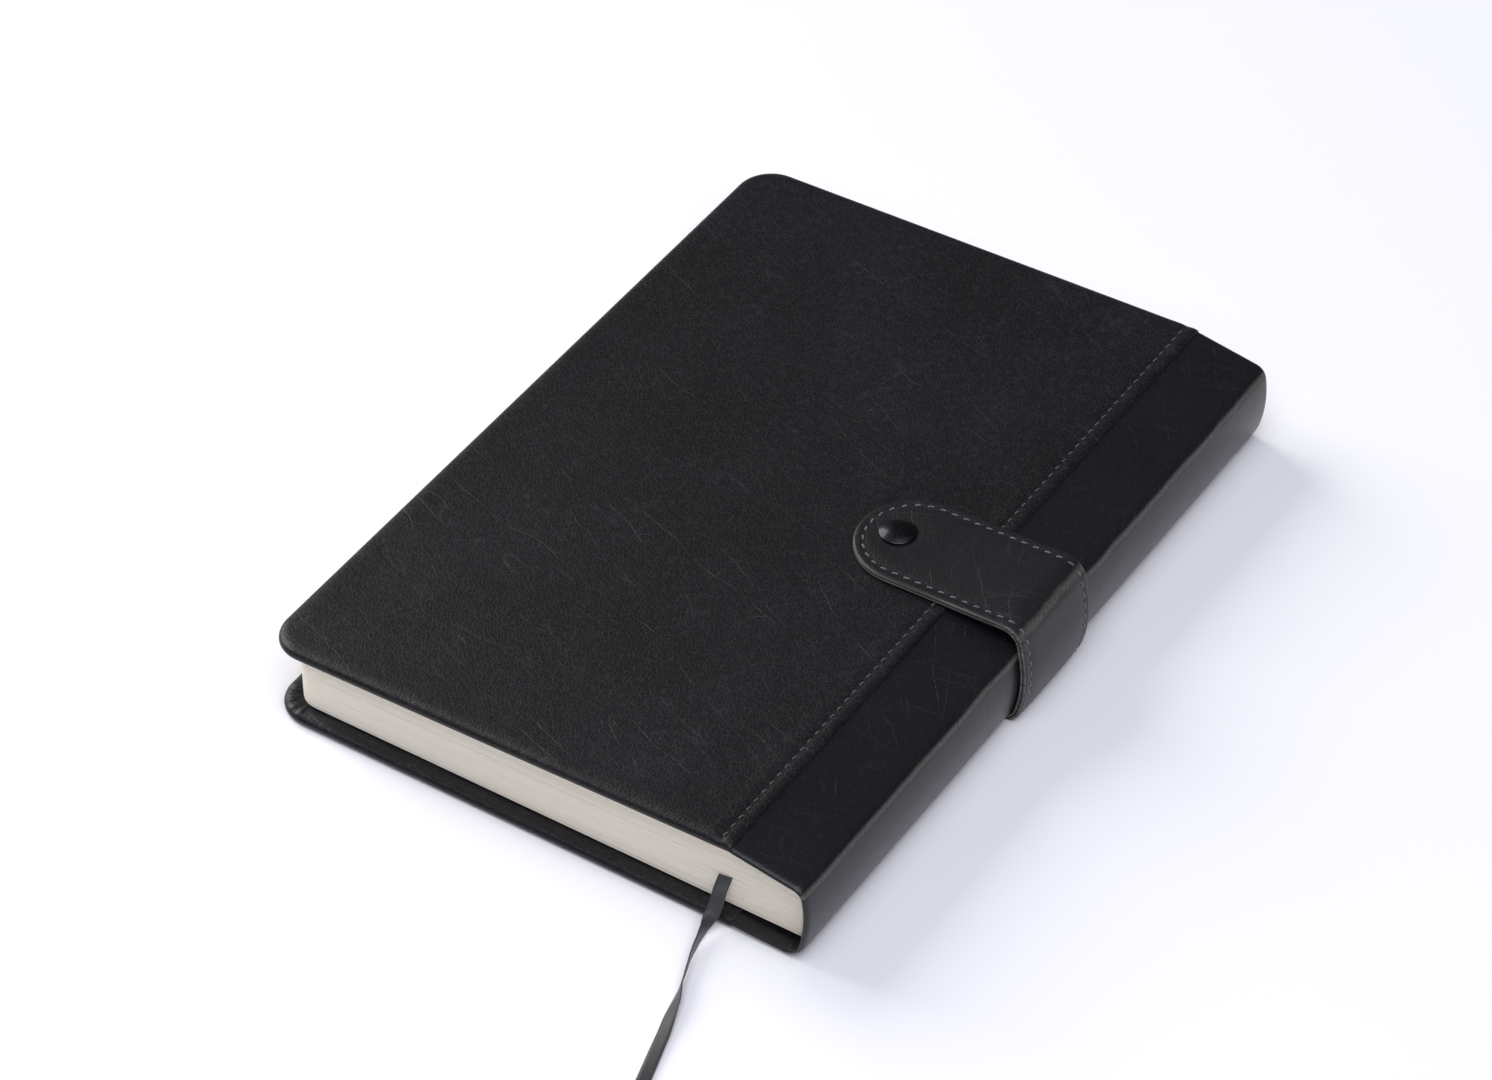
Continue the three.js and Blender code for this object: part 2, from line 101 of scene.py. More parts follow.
print(f"cover {SEAM_X:.1f} x {LENGTH:.1f} mm, {FORE_Z:.1f} to {SEAM_Z:.2f} mm thick")

# %% Small helpers
def curve_point(points, t):
    """A point on the smooth curve through `points`, with t from 0 to their count less 1."""
    i = min(int(t), len(points) - 2)
    u = t - i
    p0, p1, p2, p3 = (points[min(max(i + k, 0), len(points) - 1)] for k in (-1, 0, 1, 2))
    a = 2 * p1
    b = (p2 - p0) * u
    c = (2 * p0 - 5 * p1 + 4 * p2 - p3) * u**2
    d = (3 * p1 - p0 - 3 * p2 + p3) * u**3
    return (a + b + c + d) / 2


def clamp(value):
    return max(0.0, min(1.0, value))


def round_places(count):
    """(cosine, sine) at even steps round a circle."""
    angles = [2 * math.pi * k / count for k in range(count)]
    return [(math.cos(angle), math.sin(angle)) for angle in angles]


def add_object(name, data):
    """An object in the scene."""
    found = bpy.data.objects.new(name, data)
    bpy.context.scene.collection.objects.link(found)
    return found


def build(name, verts, faces, material, uvs=None):
    """A mesh object from book millimetres. uvs gives one (u, v) in millimetres a vertex."""
    mesh = bpy.data.meshes.new(name)
    mesh.from_pydata([to_frame(*v) for v in verts], [], faces)
    outward = bmesh.new()
    outward.from_mesh(mesh)
    bmesh.ops.recalc_face_normals(outward, faces=outward.faces)
    outward.to_mesh(mesh)
    outward.free()
    mesh.polygons.foreach_set("use_smooth", [True] * len(mesh.polygons))
    if uvs is not None:
        layer = mesh.uv_layers.new(name="grain")
        for loop in mesh.loops:
            layer.data[loop.index].uv = uvs[loop.vertex_index]
    mesh.update()
    piece = add_object(name, mesh)
    mesh.materials.append(material)
    return piece


def weld(piece):
    """Merges the vertices that meet in one place."""
    mesh = bmesh.new()
    mesh.from_mesh(piece.data)
    bmesh.ops.remove_doubles(mesh, verts=mesh.verts, dist=0.001 * MM)
    mesh.to_mesh(piece.data)
    mesh.free()


def ring_faces(rings, per, start=0):
    """Quads between neighbouring closed rings of `per` vertices each."""
    faces = []
    for i in range(rings - 1):
        for k in range(per):
            a, b = start + i * per + k, start + i * per + (k + 1) % per
            faces.append((a, b, b + per, a + per))
    return faces


def ring_end(ring, per, start=0):
    """One face that closes a ring."""
    return tuple(start + ring * per + k for k in range(per))


def ring_solid(rings, per, start=0):
    """The faces of a solid through closed rings, with both its ends."""
    ends = [ring_end(0, per, start), ring_end(rings - 1, per, start)]
    return ring_faces(rings, per, start) + ends


def soften(piece):
    """Adds a subdivision surface."""
    modifier = piece.modifiers.new("soften", "SUBSURF")
    modifier.levels = modifier.render_levels = 1


def crisp_ends(piece, count):
    """Keeps the last `count` faces, which are cut ends, flat and sharp when subdivided."""
    if not count:
        return
    mesh = piece.data
    crease = mesh.attributes.new("crease_edge", "FLOAT", "EDGE")
    edge_at = {tuple(sorted(edge.vertices)): edge.index for edge in mesh.edges}
    for face in list(mesh.polygons)[-count:]:
        face.use_smooth = False
        for key in face.edge_keys:
            crease.data[edge_at[tuple(sorted(key))]].value = 1.0


# %% [markdown]
# The camera looks down on the tail and the spine from a little over a metre, through a
# long lens, so the book's straight edges stay almost parallel.

# %% Camera
CAMERA_AZIMUTH = math.radians(32.863)
CAMERA_ELEVATION = math.radians(42.264)
CAMERA_DISTANCE = 1.2186
LENS = 121.37
AIM = Vector((-0.0072, -0.0063, 0.012))

away = Vector((
    math.sin(CAMERA_AZIMUTH) * math.cos(CAMERA_ELEVATION),
    -math.cos(CAMERA_AZIMUTH) * math.cos(CAMERA_ELEVATION),
    math.sin(CAMERA_ELEVATION),
))
camera_data = bpy.data.cameras.new("camera")
camera_data.lens = LENS
camera_data.sensor_width = 36.0
camera = add_object("camera", camera_data)
right = Vector((math.cos(CAMERA_AZIMUTH), math.sin(CAMERA_AZIMUTH), 0.0))
turn = Matrix((right, away.cross(right), away)).transposed()
camera.matrix_world = Matrix.Translation(AIM + away * CAMERA_DISTANCE) @ turn.to_4x4()
bpy.context.scene.camera = camera
print("camera at", tuple(round(v, 3) for v in camera.location))

# %% [markdown]
# A material is a small graph of nodes. One function adds a node with its settings and
# its links, so each finish below reads as a list of what the surface does.

# %% Colour and node helpers
def linear(hex_colour):
    """An sRGB hex colour as the linear RGBA that shaders use."""
    parts = [int(hex_colour[i:i + 2], 16) / 255 for i in (1, 3, 5)]
    return [p / 12.92 if p <= 0.04045 else ((p + 0.055) / 1.055) ** 2.4 for p in parts] + [1.0]


def add(material, kind, inputs=None, stops=(), **settings):
    """A node of one kind. Each input is a value, or a socket to link from.

    stops are (position, grey or hex colour) pairs, for a colour ramp.
    """
    tree = material.node_tree
    node = tree.nodes.new("ShaderNode" + kind)
    for key, value in settings.items():
        setattr(node, key, value)
    for key, value in (inputs or {}).items():
        if isinstance(value, bpy.types.NodeSocket):
            tree.links.new(value, node.inputs[key])
        else:
            node.inputs[key].default_value = value
    if stops:
        elements = node.color_ramp.elements
        while len(elements) < len(stops):
            elements.new(0.5)
        for element, (position, colour) in zip(elements, stops):
            element.position = position
            element.color = linear(colour) if isinstance(colour, str) else [colour] * 3 + [1.0]
    return node


def new_material(name, roughness, ior=1.5, metallic=0.0, **sockets):
    """A material with its Principled shader, whose uniform values are set on its own sockets."""
    material = bpy.data.materials.new(name)
    material.use_nodes = True
    shader = material.node_tree.nodes["Principled BSDF"]
    shader.inputs["Roughness"].default_value = roughness
    shader.inputs["IOR"].default_value = ior
    shader.inputs["Metallic"].default_value = metallic
    for key, value in sockets.items():
        shader.inputs[key.replace("_", " ")].default_value = value
    return material, shader


def link(material, source, target):
    material.node_tree.links.new(source, target)


def dress(material, shader, colour, height, depth, strength, over=None):
    """Gives a shader its colour, and relief of a depth in millimetres over an earlier one."""
    link(material, colour, shader.inputs["Base Color"])
    inputs = {"Height": height, "Distance": depth * MM, "Strength": strength}
    if over is not None:
        inputs["Normal"] = over
    relief = add(material, "Bump", inputs)
    link(material, relief.outputs["Normal"], shader.inputs["Normal"])


def in_millimetres(material, from_uv=False, stretch=(1, 1, 1)):
    """Surface coordinates in millimetres: the piece's own, or its unrolled ones."""
    output = "UV" if from_uv else "Object"
    size = 1.0 if from_uv else 1 / MM
    scale = [size * s for s in stretch]
    place = add(material, "TexCoord").outputs[output]
    return add(material, "Mapping", {"Vector": place, "Scale": scale}).outputs["Vector"]


def mottled(name, colours, spread, grain, relief, stretch=(1, 1, 1), **sockets):
    """A finish in two colours by one noise, which is its relief as well.

    spread is where the noise turns from one colour to the other, grain is the noise's scale,
    detail and roughness, and relief is a depth in millimetres and a strength.
    """
    material, shader = new_material(name, **sockets)
    scale, detail, roughness = grain
    inputs = {"Vector": in_millimetres(material, stretch=stretch), "Scale": scale,
              "Detail": detail, "Roughness": roughness}
    specks = add(material, "TexNoise", inputs).outputs["Fac"]
    colour = add(material, "ValToRGB", {"Fac": specks}, list(zip(spread, colours)))
    dress(material, shader, colour.outputs["Color"], specks, *relief)
    return material


# %% [markdown]
# The marker ribbon is narrow double-faced satin with a fine cross rib. It leaves the text
# block between two signatures, drops over the edge of the back cover and lies along the
# table. It could be a cloth simulation, but a ribbon keeps its width and only bends and
# twists, so a strip swept along its route, with the twist given at a few places, is exact.

# %% Ribbon finish
RIB_PITCH = 0.45  # mm between ribs, a little coarser than real so that they show
WAVE = math.pi / 10  # a wave texture of scale WAVE has one band in each unit of length


def ribbed_satin(name, from_uv):
    material, shader = new_material(name, roughness=0.42, ior=1.53, Sheen_Weight=0.35)
    shader.inputs["Sheen Tint"].default_value = linear("#85868a")
    inputs = {"Vector": in_millimetres(material, from_uv), "Scale": WAVE / RIB_PITCH}
    ribs = add(material, "TexWave", inputs, bands_direction="Y").outputs["Fac"]
    colour = add(material, "ValToRGB", {"Fac": ribs}, [(0.0, "#1c1c1e"), (1.0, "#38393b")])
    dress(material, shader, colour.outputs["Color"], ribs, 0.08, 0.6)
    return material


ribbon_satin = ribbed_satin("polyester_satin_ribbed", True)
ribbon_satin_inside = ribbed_satin("polyester_satin_ribbed_inside", False)

# %% Ribbon shape
RIBBON_WIDTH = 3.4
RIBBON_THICKNESS = 0.3
RIBBON_ROUTE = [
    (126.6, 4.2, 11.8), (126.9, 1.4, 9.9), (126.9, -0.4, 6.6), (126.6, -2.4, 3.8),
    (126.7, -5.0, 1.9), (127.2, -8.2, 0.9), (128.1, -12.2, 0.5), (129.7, -16.8, 0.45),
    (131.2, -21.2, 0.45), (132.8, -25.6, 0.45), (134.1, -30.1, 0.45), (135.5, -34.5, 0.45),
    (136.8, -39.3, 0.45), (138.1, -44.1, 0.45), (139.3, -48.6, 0.45), (140.4, -53.1, 0.45),
    (141.5, -57.5, 0.45), (142.6, -62.3, 0.45), (143.4, -67.0, 0.45), (143.9, -71.8, 0.45),
]
# How far the ribbon has turned about its own line, in degrees, at shares of its route. It
# stands on its edge once on the way, and ends up lying on its other face.
RIBBON_TWIST = [
    (0.0, 0), (0.12, 22), (0.17, 48), (0.21, 74), (0.26, 86), (0.32, 93), (0.38, 98), (0.43, 106),
    (0.48, 132), (0.53, 150), (0.6, 165), (0.74, 177), (1.0, 180),
]
PLACES_ACROSS = (-1, -0.96, -0.5, 0, 0.5, 0.96, 1)  # from one edge of the ribbon to the other
RIBBON_SECTION = [(place, -0.5) for place in PLACES_ACROSS]
RIBBON_SECTION += [(place, 0.5) for place in reversed(PLACES_ACROSS)]
EDGE_SHARE = 0.35        # how much of its thickness the ribbon keeps at its very edge
STEPS_BETWEEN = 8        # stations from one place of the route to the next
EDGE_LIFT = 0.9          # share of its half width that it rises when it stands on its edge,
LIFT_BELOW = 5.0         # which begins under this height
LIFT_OVER = 4.0          # and is full this much lower


def twist_at(share):
    places, angles = zip(*RIBBON_TWIST)
    return math.radians(float(np.interp(share, places, angles)))


def ribbon():
    route = [Vector(p) for p in RIBBON_ROUTE]
    steps = STEPS_BETWEEN * (len(route) - 1)
    line = [curve_point(route, i / STEPS_BETWEEN) for i in range(steps + 1)]
    verts, uvs, travelled = [], [], 0.0
    for i, point in enumerate(line):
        along = (line[min(i + 1, steps)] - line[max(i - 1, 0)]).normalized()
        across = along.cross(Vector((0, 0, 1))).normalized()
        up = across.cross(along).normalized()
        angle = twist_at(i / steps)
        wide = across * math.cos(angle) + up * math.sin(angle)
        thick = up * math.cos(angle) - across * math.sin(angle)
        lift = Vector((0, 0, RIBBON_WIDTH / 2 * abs(math.sin(angle)) * EDGE_LIFT))
        lift *= clamp((LIFT_BELOW - point.z) / LIFT_OVER)
        travelled += (point - line[max(i - 1, 0)]).length
        for place, face in RIBBON_SECTION:
            thickness = RIBBON_THICKNESS * (EDGE_SHARE if abs(place) == 1 else 1.0)
            offset = wide * (place * RIBBON_WIDTH / 2) + thick * (face * thickness)
            verts.append(point + offset + lift)
            uvs.append((place * RIBBON_WIDTH / 2, travelled))
    per = len(RIBBON_SECTION)
    piece = build("ribbon_marker_free", verts, ring_solid(steps + 1, per), ribbon_satin, uvs)
    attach(piece, "back_cover")
    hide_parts("marker_ribbon")


ribbon()

# %% [markdown]
# The covers are wrapped in PU-coated leather, embossed with a fine hair-cell grain and
# then tumbled, so it carries long faint creases. It is matte, with a soft gloss where it
# rounds a rim. The grain is the edges of small drawn-out Voronoi cells; the creases are
# contour lines of a stretched noise, which flow and stay nearly parallel as real ones do.
# Both are paler than the leather, because that is where the finish has thinned.

# %% Leather finish
GRAIN = 1.1          # mm along one cell of the grain
CREASE = 8.0         # mm between the creases
CREASE_DRAW = 7.0    # how many times longer than that they are
MOTTLE = 34.0        # mm across a patch of tone


def bent(material, place, scale, reach, shift=(0, 0, 0)):
    """Coordinates pushed about by a noise of 1/scale mm, by up to `reach` mm."""
    moved = add(material, "Mapping", {"Vector": place, "Location": shift}).outputs["Vector"]
    inputs = {"Vector": moved, "Scale": scale, "Detail": 4.0, "Roughness": 0.55}
    warp = add(material, "TexNoise", inputs).outputs["Color"]
    push = add(material, "VectorMath", {0: warp, 1: (0.5, 0.5, 0.5)}, operation="SUBTRACT").outputs[0]
    far = add(material, "VectorMath", {0: push, "Scale": reach}, operation="SCALE").outputs[0]
    return add(material, "VectorMath", {0: place, 1: far}, operation="ADD").outputs[0]


def times(material, *factors):
    """The product of several grey values."""
    product = factors[0]
    for factor in factors[1:]:
        product = add(material, "Math", {0: product, 1: factor}, operation="MULTIPLY").outputs[0]
    return product


def distance_from(material, value, middle):
    """How far a grey value is from a middle one, either way."""
    off = add(material, "Math", {0: value, 1: middle}, operation="SUBTRACT").outputs[0]
    return add(material, "Math", {0: off}, operation="ABSOLUTE").outputs[0]


def creases(material, place, angle, spread, width, shift):
    """Contour lines of a noise drawn out along one direction."""
    inputs = {"Vector": bent(material, place, 1 / 30, 6.0, shift), "Location": shift,
              "Rotation": (0, 0, math.radians(angle)), "Scale": (CREASE_DRAW, 1, 1)}
    turned = add(material, "Mapping", inputs, vector_type="TEXTURE").outputs["Vector"]
    inputs = {"Vector": turned, "Scale": 1 / spread, "Detail": 1.4, "Roughness": 0.4}
    field = add(material, "TexNoise", inputs).outputs["Fac"]
    off = distance_from(material, field, 0.5)
    line = add(material, "ValToRGB", {"Fac": off}, [(0.0, 1.0), (width, 0.0)])
    patches = add(material, "TexNoise", {"Vector": place, "Scale": 1 / 16, "Detail": 3.0})
    inputs = {"Fac": patches.outputs["Fac"]}
    shown = add(material, "ValToRGB", inputs, [(0.45, 0.0), (0.62, 1.0)])
    return times(material, line.outputs["Color"], shown.outputs["Color"])


def leather(name, colours, roughness, ior, grain_share, crease_share, from_uv, highlight_and_wear_at=None):
    """PU leather. The shares say how far the grain and the creases go to the palest colour."""
    base, light, pale = colours
    material, shader = new_material(name, roughness, ior)
    place = in_millimetres(material, from_uv)
    inputs = {"Vector": place, "Scale": 1 / MOTTLE, "Detail": 4.0, "Roughness": 0.55}
    mottle = add(material, "TexNoise", inputs).outputs["Fac"]
    tone = add(material, "ValToRGB", {"Fac": mottle}, [(0.32, base), (0.7, light)])
    inputs = {"Vector": bent(material, place, 0.4, 1.6), "Scale": (1.35, 0.8, 1)}
    stretched = add(material, "Mapping", inputs).outputs["Vector"]
    inputs = {"Vector": stretched, "Scale": 1 / GRAIN}
    cells = add(material, "TexVoronoi", inputs, feature="DISTANCE_TO_EDGE").outputs["Distance"]
    edges = add(material, "ValToRGB", {"Fac": cells}, [(0.0, 1.0), (0.16, 0.0)]).outputs["Color"]
    patches = add(material, "TexNoise", {"Vector": place, "Scale": 0.55, "Detail": 3.0})
    inputs = {"Fac": patches.outputs["Fac"]}
    uneven = add(material, "ValToRGB", inputs, [(0.3, 0.15), (0.65, 1.0)]).outputs["Color"]
    first = creases(material, place, -24, CREASE, 0.014, (3, 8, 1))
    second = creases(material, place, 55, CREASE * 0.6, 0.012, (40, 12, 7))
    crease = add(material, "Math", {0: first, 1: second}, operation="MAXIMUM").outputs[0]
    inputs = {0: times(material, edges, uneven, grain_share), 1: times(material, crease, crease_share)}
    share = add(material, "Math", inputs, operation="ADD").outputs[0]
    inputs = {"Factor": share, "A": tone.outputs["Color"], "B": linear(pale)}
    colour = add(material, "Mix", inputs, data_type="RGBA").outputs["Result"]
    # Painted highlight along one corner, brownish-grey like rubbed finish, with grit.
    if highlight_and_wear_at is not None:
        colour = painted_highlight_and_rub(material, colour, highlight_and_wear_at)
    inputs = {"Height": edges, "Distance": 0.03 * MM, "Strength": 0.6}
    grain = add(material, "Bump", inputs, invert=True).outputs["Normal"]
    inputs = {"Height": crease, "Distance": 0.06 * MM, "Strength": 0.6, "Normal": grain}
    creased = add(material, "Bump", inputs, invert=True).outputs["Normal"]
    waves = add(material, "TexNoise", {"Vector": place, "Scale": 1 / 9, "Detail": 3.0})
    dress(material, shader, colour, waves.outputs["Fac"], 0.4, 0.3, creased)
    return material


def painted_highlight_and_rub(material, colour, place_at):
    """A painted highlight along a corner, gritty and brownish-grey like rubbed finish, placed by the
    distance unrolled along the piece.
    """
    place = add(material, "TexCoord").outputs["UV"]
    along = add(material, "SeparateXYZ", {0: place}).outputs[0]
    sway = add(material, "TexNoise", {"Vector": place, "Scale": 0.07}).outputs["Fac"]
    moved = add(material, "Math", {0: sway, 1: 1.2, 2: along}, operation="MULTIPLY_ADD").outputs[0]
    off = distance_from(material, moved, place_at + 0.6)
    band = add(material, "ValToRGB", {"Fac": off}, [(0.25, 1.0), (1.25, 0.0)]).outputs["Color"]
    inputs = {"Vector": place, "Scale": 1.6, "Detail": 4.0, "Roughness": 0.75}
    grit = add(material, "TexNoise", inputs).outputs["Fac"]
    patchy = add(material, "ValToRGB", {"Fac": grit}, [(0.35, 0.25), (0.65, 1.0)]).outputs["Color"]
    # The painted highlight's brownish-grey, the colour of rubbed finish.
    inputs = {"Factor": times(material, band, patchy, 0.7), "A": colour, "B": linear("#6e6761")}
    return add(material, "Mix", inputs, data_type="RGBA").outputs["Result"]


PANEL_COLOURS = ("#101012", "#161619", "#4f4f53")
WRAP_COLOURS = ("#111215", "#17181b", "#48484b")
STRAP_COLOURS = ("#141517", "#1a1b1d", "#4a4a4d")
LINING_COLOURS = ("#141416", "#1b1b1d", "#4a4a4d")

# %% [markdown]
# Each cover is a padded board: leather over thin foam, turned in over the board's edges.
# A subdivided box would have the thickness but not the plump rim or the turned-in lip, so
# the skin is built as rings that follow the cover's outline, from the lip inside, round
# the rim and on to the face, and a grid fills the face. Every ring has an outer and an
# inner point, which gives the leather its own thickness round a real pocket.

# %% Cover skins
CORNER = 9.6        # plan radius of the two fore-edge corners
TURN_IN = 12.0      # how far the leather is turned in over the board
LEATHER = 0.9
LIP = 0.35          # the turned-in edge is pared thin
STITCH_INSET = 3.05
STITCH_LINE = SEAM_X - STITCH_INSET
D = COVER_DEPTH
# (inset, depth) of the outside of the leather, then of its inside, from the lip to the face.
RIM = [
    ((TURN_IN, D - 0.02), (TURN_IN, D - LIP)), ((CORNER, D), (CORNER, D - LIP)),
    ((6.0, D), (6.0, D - LIP)), ((4.4, D), (4.4, D - LIP)), ((3.2, D), (3.2, D - LIP)),
    ((1.9, D - 0.03), (2.1, D - LIP - 0.02)), ((0.95, D - 0.22), (1.35, D - LIP - 0.1)),
    ((0.3, D - 0.62), (1.0, D - 0.8)), ((0.03, D - 1.15), (0.92, D - 1.2)),
    ((0.0, 1.45), (0.9, 1.5)), ((0.16, 0.88), (0.95, 1.2)), ((0.62, 0.38), (1.3, 1.0)),
    ((1.45, 0.1), (1.9, 0.93)), ((2.7, 0.0), (2.9, LEATHER)), ((4.2, -0.03), (4.2, LEATHER)),
    ((6.4, 0.0), (6.4, LEATHER)), ((CORNER, 0.0), (CORNER, LEATHER)),
]
CORNER_STEPS = 40
PLEATS = 5          # folds in the lip round a corner
PLEAT_HEIGHT = 0.5
PLEAT_INSET = 2.4   # where the folds are highest, from the cover's edge
PLEAT_REACH = 2.2
X_PLACES = list(np.linspace(CORNER, SEAM_X - 9, 30)) + [
    SEAM_X - d for d in (7.5, 6.2, 5.0, 4.2, 3.6, STITCH_INSET, 2.5, 1.9, 1.2, 0.6, 0.25, -0.14)]
Y_PLACES = list(np.linspace(CORNER, LENGTH - CORNER, 56))
BROAD_SWELL = (0.11, 26, 0.0)   # height, size and seed of the face's unevenness
FINE_SWELL = (0.05, 9, 4.0)


def seam_depth(x):
    """How far the face dips along the stitch line and rolls down at the seam's edge."""
    dip = 0.22 * math.exp(-((x - STITCH_LINE) / 0.75) ** 2)
    pad = -0.1 * math.exp(-((x - STITCH_LINE + 2.6) / 1.2) ** 2)
    roll = 0.42 * max(0.0, (x - SEAM_X + 1.0)) ** 2
    return dip + pad + roll


def swell(x, y):
    """The slight unevenness of a padded face."""
    return sum(height * noise.noise(Vector((x / size, y / size, seed)))
               for height, size, seed in (BROAD_SWELL, FINE_SWELL))


def outline(inset):
    """Points round the cover at an inset, from the seam at the tail to the seam at the head."""
    radius, centre = max(CORNER - inset, 0.0), max(CORNER, inset)
    turns = [math.radians(90 * i / CORNER_STEPS) for i in range(CORNER_STEPS + 1)]
    points = [(max(x, centre), inset) for x in reversed(X_PLACES[1:])]
    points += [(centre - radius * math.sin(t), centre - radius * math.cos(t)) for t in turns]
    points += [(inset, min(max(y, centre), LENGTH - centre)) for y in Y_PLACES[1:-1]]
    points += [(centre - radius * math.cos(t), LENGTH - centre + radius * math.sin(t)) for t in turns]
    points += [(max(x, centre), LENGTH - inset) for x in X_PLACES[1:]]
    return points


def pleat(inset, index):
    """The height of the folds gathered in the lip at a corner, at one point of a ring."""
    share = max(0.0, 1.0 - abs(inset - PLEAT_INSET) / PLEAT_REACH)
    tail_corner = len(X_PLACES) - 1
    head_corner = tail_corner + CORNER_STEPS + 1 + len(Y_PLACES) - 2
    for start in (tail_corner, head_corner):
        turned = (index - start) / CORNER_STEPS
        if 0 < turned < 1:
            return PLEAT_HEIGHT * share * math.sin(PLEATS * math.pi * turned) ** 4
    return 0.0


def skin_point(side, layer, inset, depth, x, y, index):
    """One point of the skin, outside (layer 0) or inside, with the face's dips and swells."""
    if layer == 0 and depth < 0.5:
        depth += seam_depth(x) + swell(x, y) * (1 - depth / 0.5)
    elif depth < 1.3:
        depth += 0.35 * seam_depth(x)
    elif layer == 0 and depth > D - 0.3:
        depth += pleat(inset, index)
    if side == "back":
        depth = max(depth, 0.0)  # the book's own weight presses this face flat on the table
    return (x, y, level(side, x, depth))


def cover_skin(side, material):
    """The leather of one cover, as a closed shell."""
    verts, faces = [], []
    per_ring, rings = len(outline(0.0)), len(RIM) - 1
    cols, rows = len(X_PLACES), len(Y_PLACES)
    per_layer = rings * per_ring + cols * rows
    for layer in (0, 1):
        for pair in RIM[:-1]:
            inset, depth = pair[layer]
            verts += [skin_point(side, layer, inset, depth, x, y, i)
                      for i, (x, y) in enumerate(outline(inset))]
        inset, depth = RIM[-1][layer]
        verts += [skin_point(side, layer, inset, depth, x, y, 0) for y in Y_PLACES for x in X_PLACES]

    def chains(layer):
        """The vertices of each ring, and the face grid's own edge as the last ring."""
        base = layer * per_layer
        grid = [[base + rings * per_ring + r * cols + c for c in range(cols)] for r in range(rows)]
        edge = list(reversed(grid[0][1:])) + [grid[0][0]] * (CORNER_STEPS + 1)
        edge += [row[0] for row in grid[1:-1]]
        edge += [grid[-1][0]] * (CORNER_STEPS + 1) + grid[-1][1:]
        return [[base + r * per_ring + i for i in range(per_ring)] for r in range(rings)] + [edge], grid

    def quad(corners, flip):
        corners = tuple(dict.fromkeys(corners))
        if len(corners) > 2:
            faces.append(corners[::-1] if flip else corners)

    seams = []
    for layer in (0, 1):
        flip = (side == "front") == (layer == 0)
        found, grid = chains(layer)
        for near, far in zip(found, found[1:]):
            for i in range(per_ring - 1):
                quad((near[i], near[i + 1], far[i + 1], far[i]), flip)
        for low, high in zip(grid, grid[1:]):
            for i in range(cols - 1):
                quad((low[i], low[i + 1], high[i + 1], high[i]), not flip)
        seams.append([ring[0] for ring in found[:-1]] + [row[-1] for row in grid]
                     + [ring[-1] for ring in reversed(found[:-1])])
    flip = side == "front"
    for i in range(per_ring - 1):
        quad((i + 1, i, per_layer + i, per_layer + i + 1), flip)
    for i in range(len(seams[0]) - 1):
        quad((seams[0][i], seams[0][i + 1], seams[1][i + 1], seams[1][i]), flip)
    piece = build(f"{side}_cover_leather", verts, faces, material)
    weld(piece)
    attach(piece, f"{side}_cover")
    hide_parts(f"{side}_leather")
    soften(piece)
    print(piece.name, len(verts), "points")


panel_leather = leather("pu_leather_tumbled", PANEL_COLOURS, 0.36, 1.35, 0.2, 0.12, False)
cover_skin("front", panel_leather)
cover_skin("back", panel_leather)

# %% [markdown]
# One narrower, smoother hide wraps the spine. Its line is a flat under the back cover, a
# tail corner, a side that bulges a little, a top corner, and a flat that drops towards
# the front cover's seam. Straight stretches and arcs give that line; two copies of it at
# different depths would make a tube, but a bound edge is turned in, so the section run
# along the line is a C: outside, round the rim, and 12 mm back under itself.

# %% The line round the spine
SIDE_LOW, SIDE_HIGH = (
    to_book(joint_at[name]) * Vector((1, 0, 1)) for name in ("spine_fold", "cover_fold"))
WRAP_DEPTH = 0.95           # how deep the wrap tucks under the covers
WRAP_TUCK = 6.4
TAIL_RADIUS, TOP_RADIUS = 5.5, 4.05
HEADINGS = (0, 75, 100, 170)
ARC_STEP = 5.0
SEAM_ROOM = 0.1             # how far the wrap's face stands clear of a cover's edge
FOLD = Vector((0.06, 0, 0))  # a second station this close keeps the fold at the seam sharp
NEAR_SEAM = 0.006           # and one at this share of the flat keeps the flat flat


def heading(degrees):
    return Vector((math.cos(math.radians(degrees)), 0, math.sin(math.radians(degrees))))


def arc_offset(radius, degrees):
    """Where an arc that starts level stands after turning, from its centre."""
    return radius * Vector((math.sin(math.radians(degrees)), 0, -math.cos(math.radians(degrees))))


def arc(start, radius, from_degrees, to_degrees, step=ARC_STEP):
    """Places on an arc from one heading to another, without its start."""
    count = max(2, round(abs(to_degrees - from_degrees) / step))
    centre = start - arc_offset(radius, from_degrees)
    turns = [from_degrees + (to_degrees - from_degrees) * (i + 1) / count for i in range(count)]
    return [centre + arc_offset(radius, t) for t in turns]


def straight(a, b, count):
    """Places on a straight stretch, without its start."""
    return [a.lerp(b, (i + 1) / count) for i in range(count)]


def shifted(line, distance):
    """The line moved to its right, which is outwards. distance is a number or a list of them."""
    moved = []
    for i, point in enumerate(line):
        before, after = line[max(i - 1, 0)], line[min(i + 1, len(line) - 1)]
        first = (point - before).normalized() if i else (after - point).normalized()
        second = (after - point).normalized() if i < len(line) - 1 else first
        along = (first + second).normalized()
        move = distance[i] if isinstance(distance, list) else distance
        moved.append(point + Vector((along.z, 0, -along.x)) * move / max(along.dot(second), 0.3))
    return moved


tail_start = SIDE_LOW - arc_offset(TAIL_RADIUS, HEADINGS[1]) + arc_offset(TAIL_RADIUS, HEADINGS[0])
side_chord = (SIDE_HIGH - SIDE_LOW).length
side_radius = side_chord / 2 / math.sin(math.radians((HEADINGS[2] - HEADINGS[1]) / 2))


def under_cover(side, x):
    """A place on the wrap's line under one cover."""
    return Vector((x, 0, level(side, x, WRAP_DEPTH)))


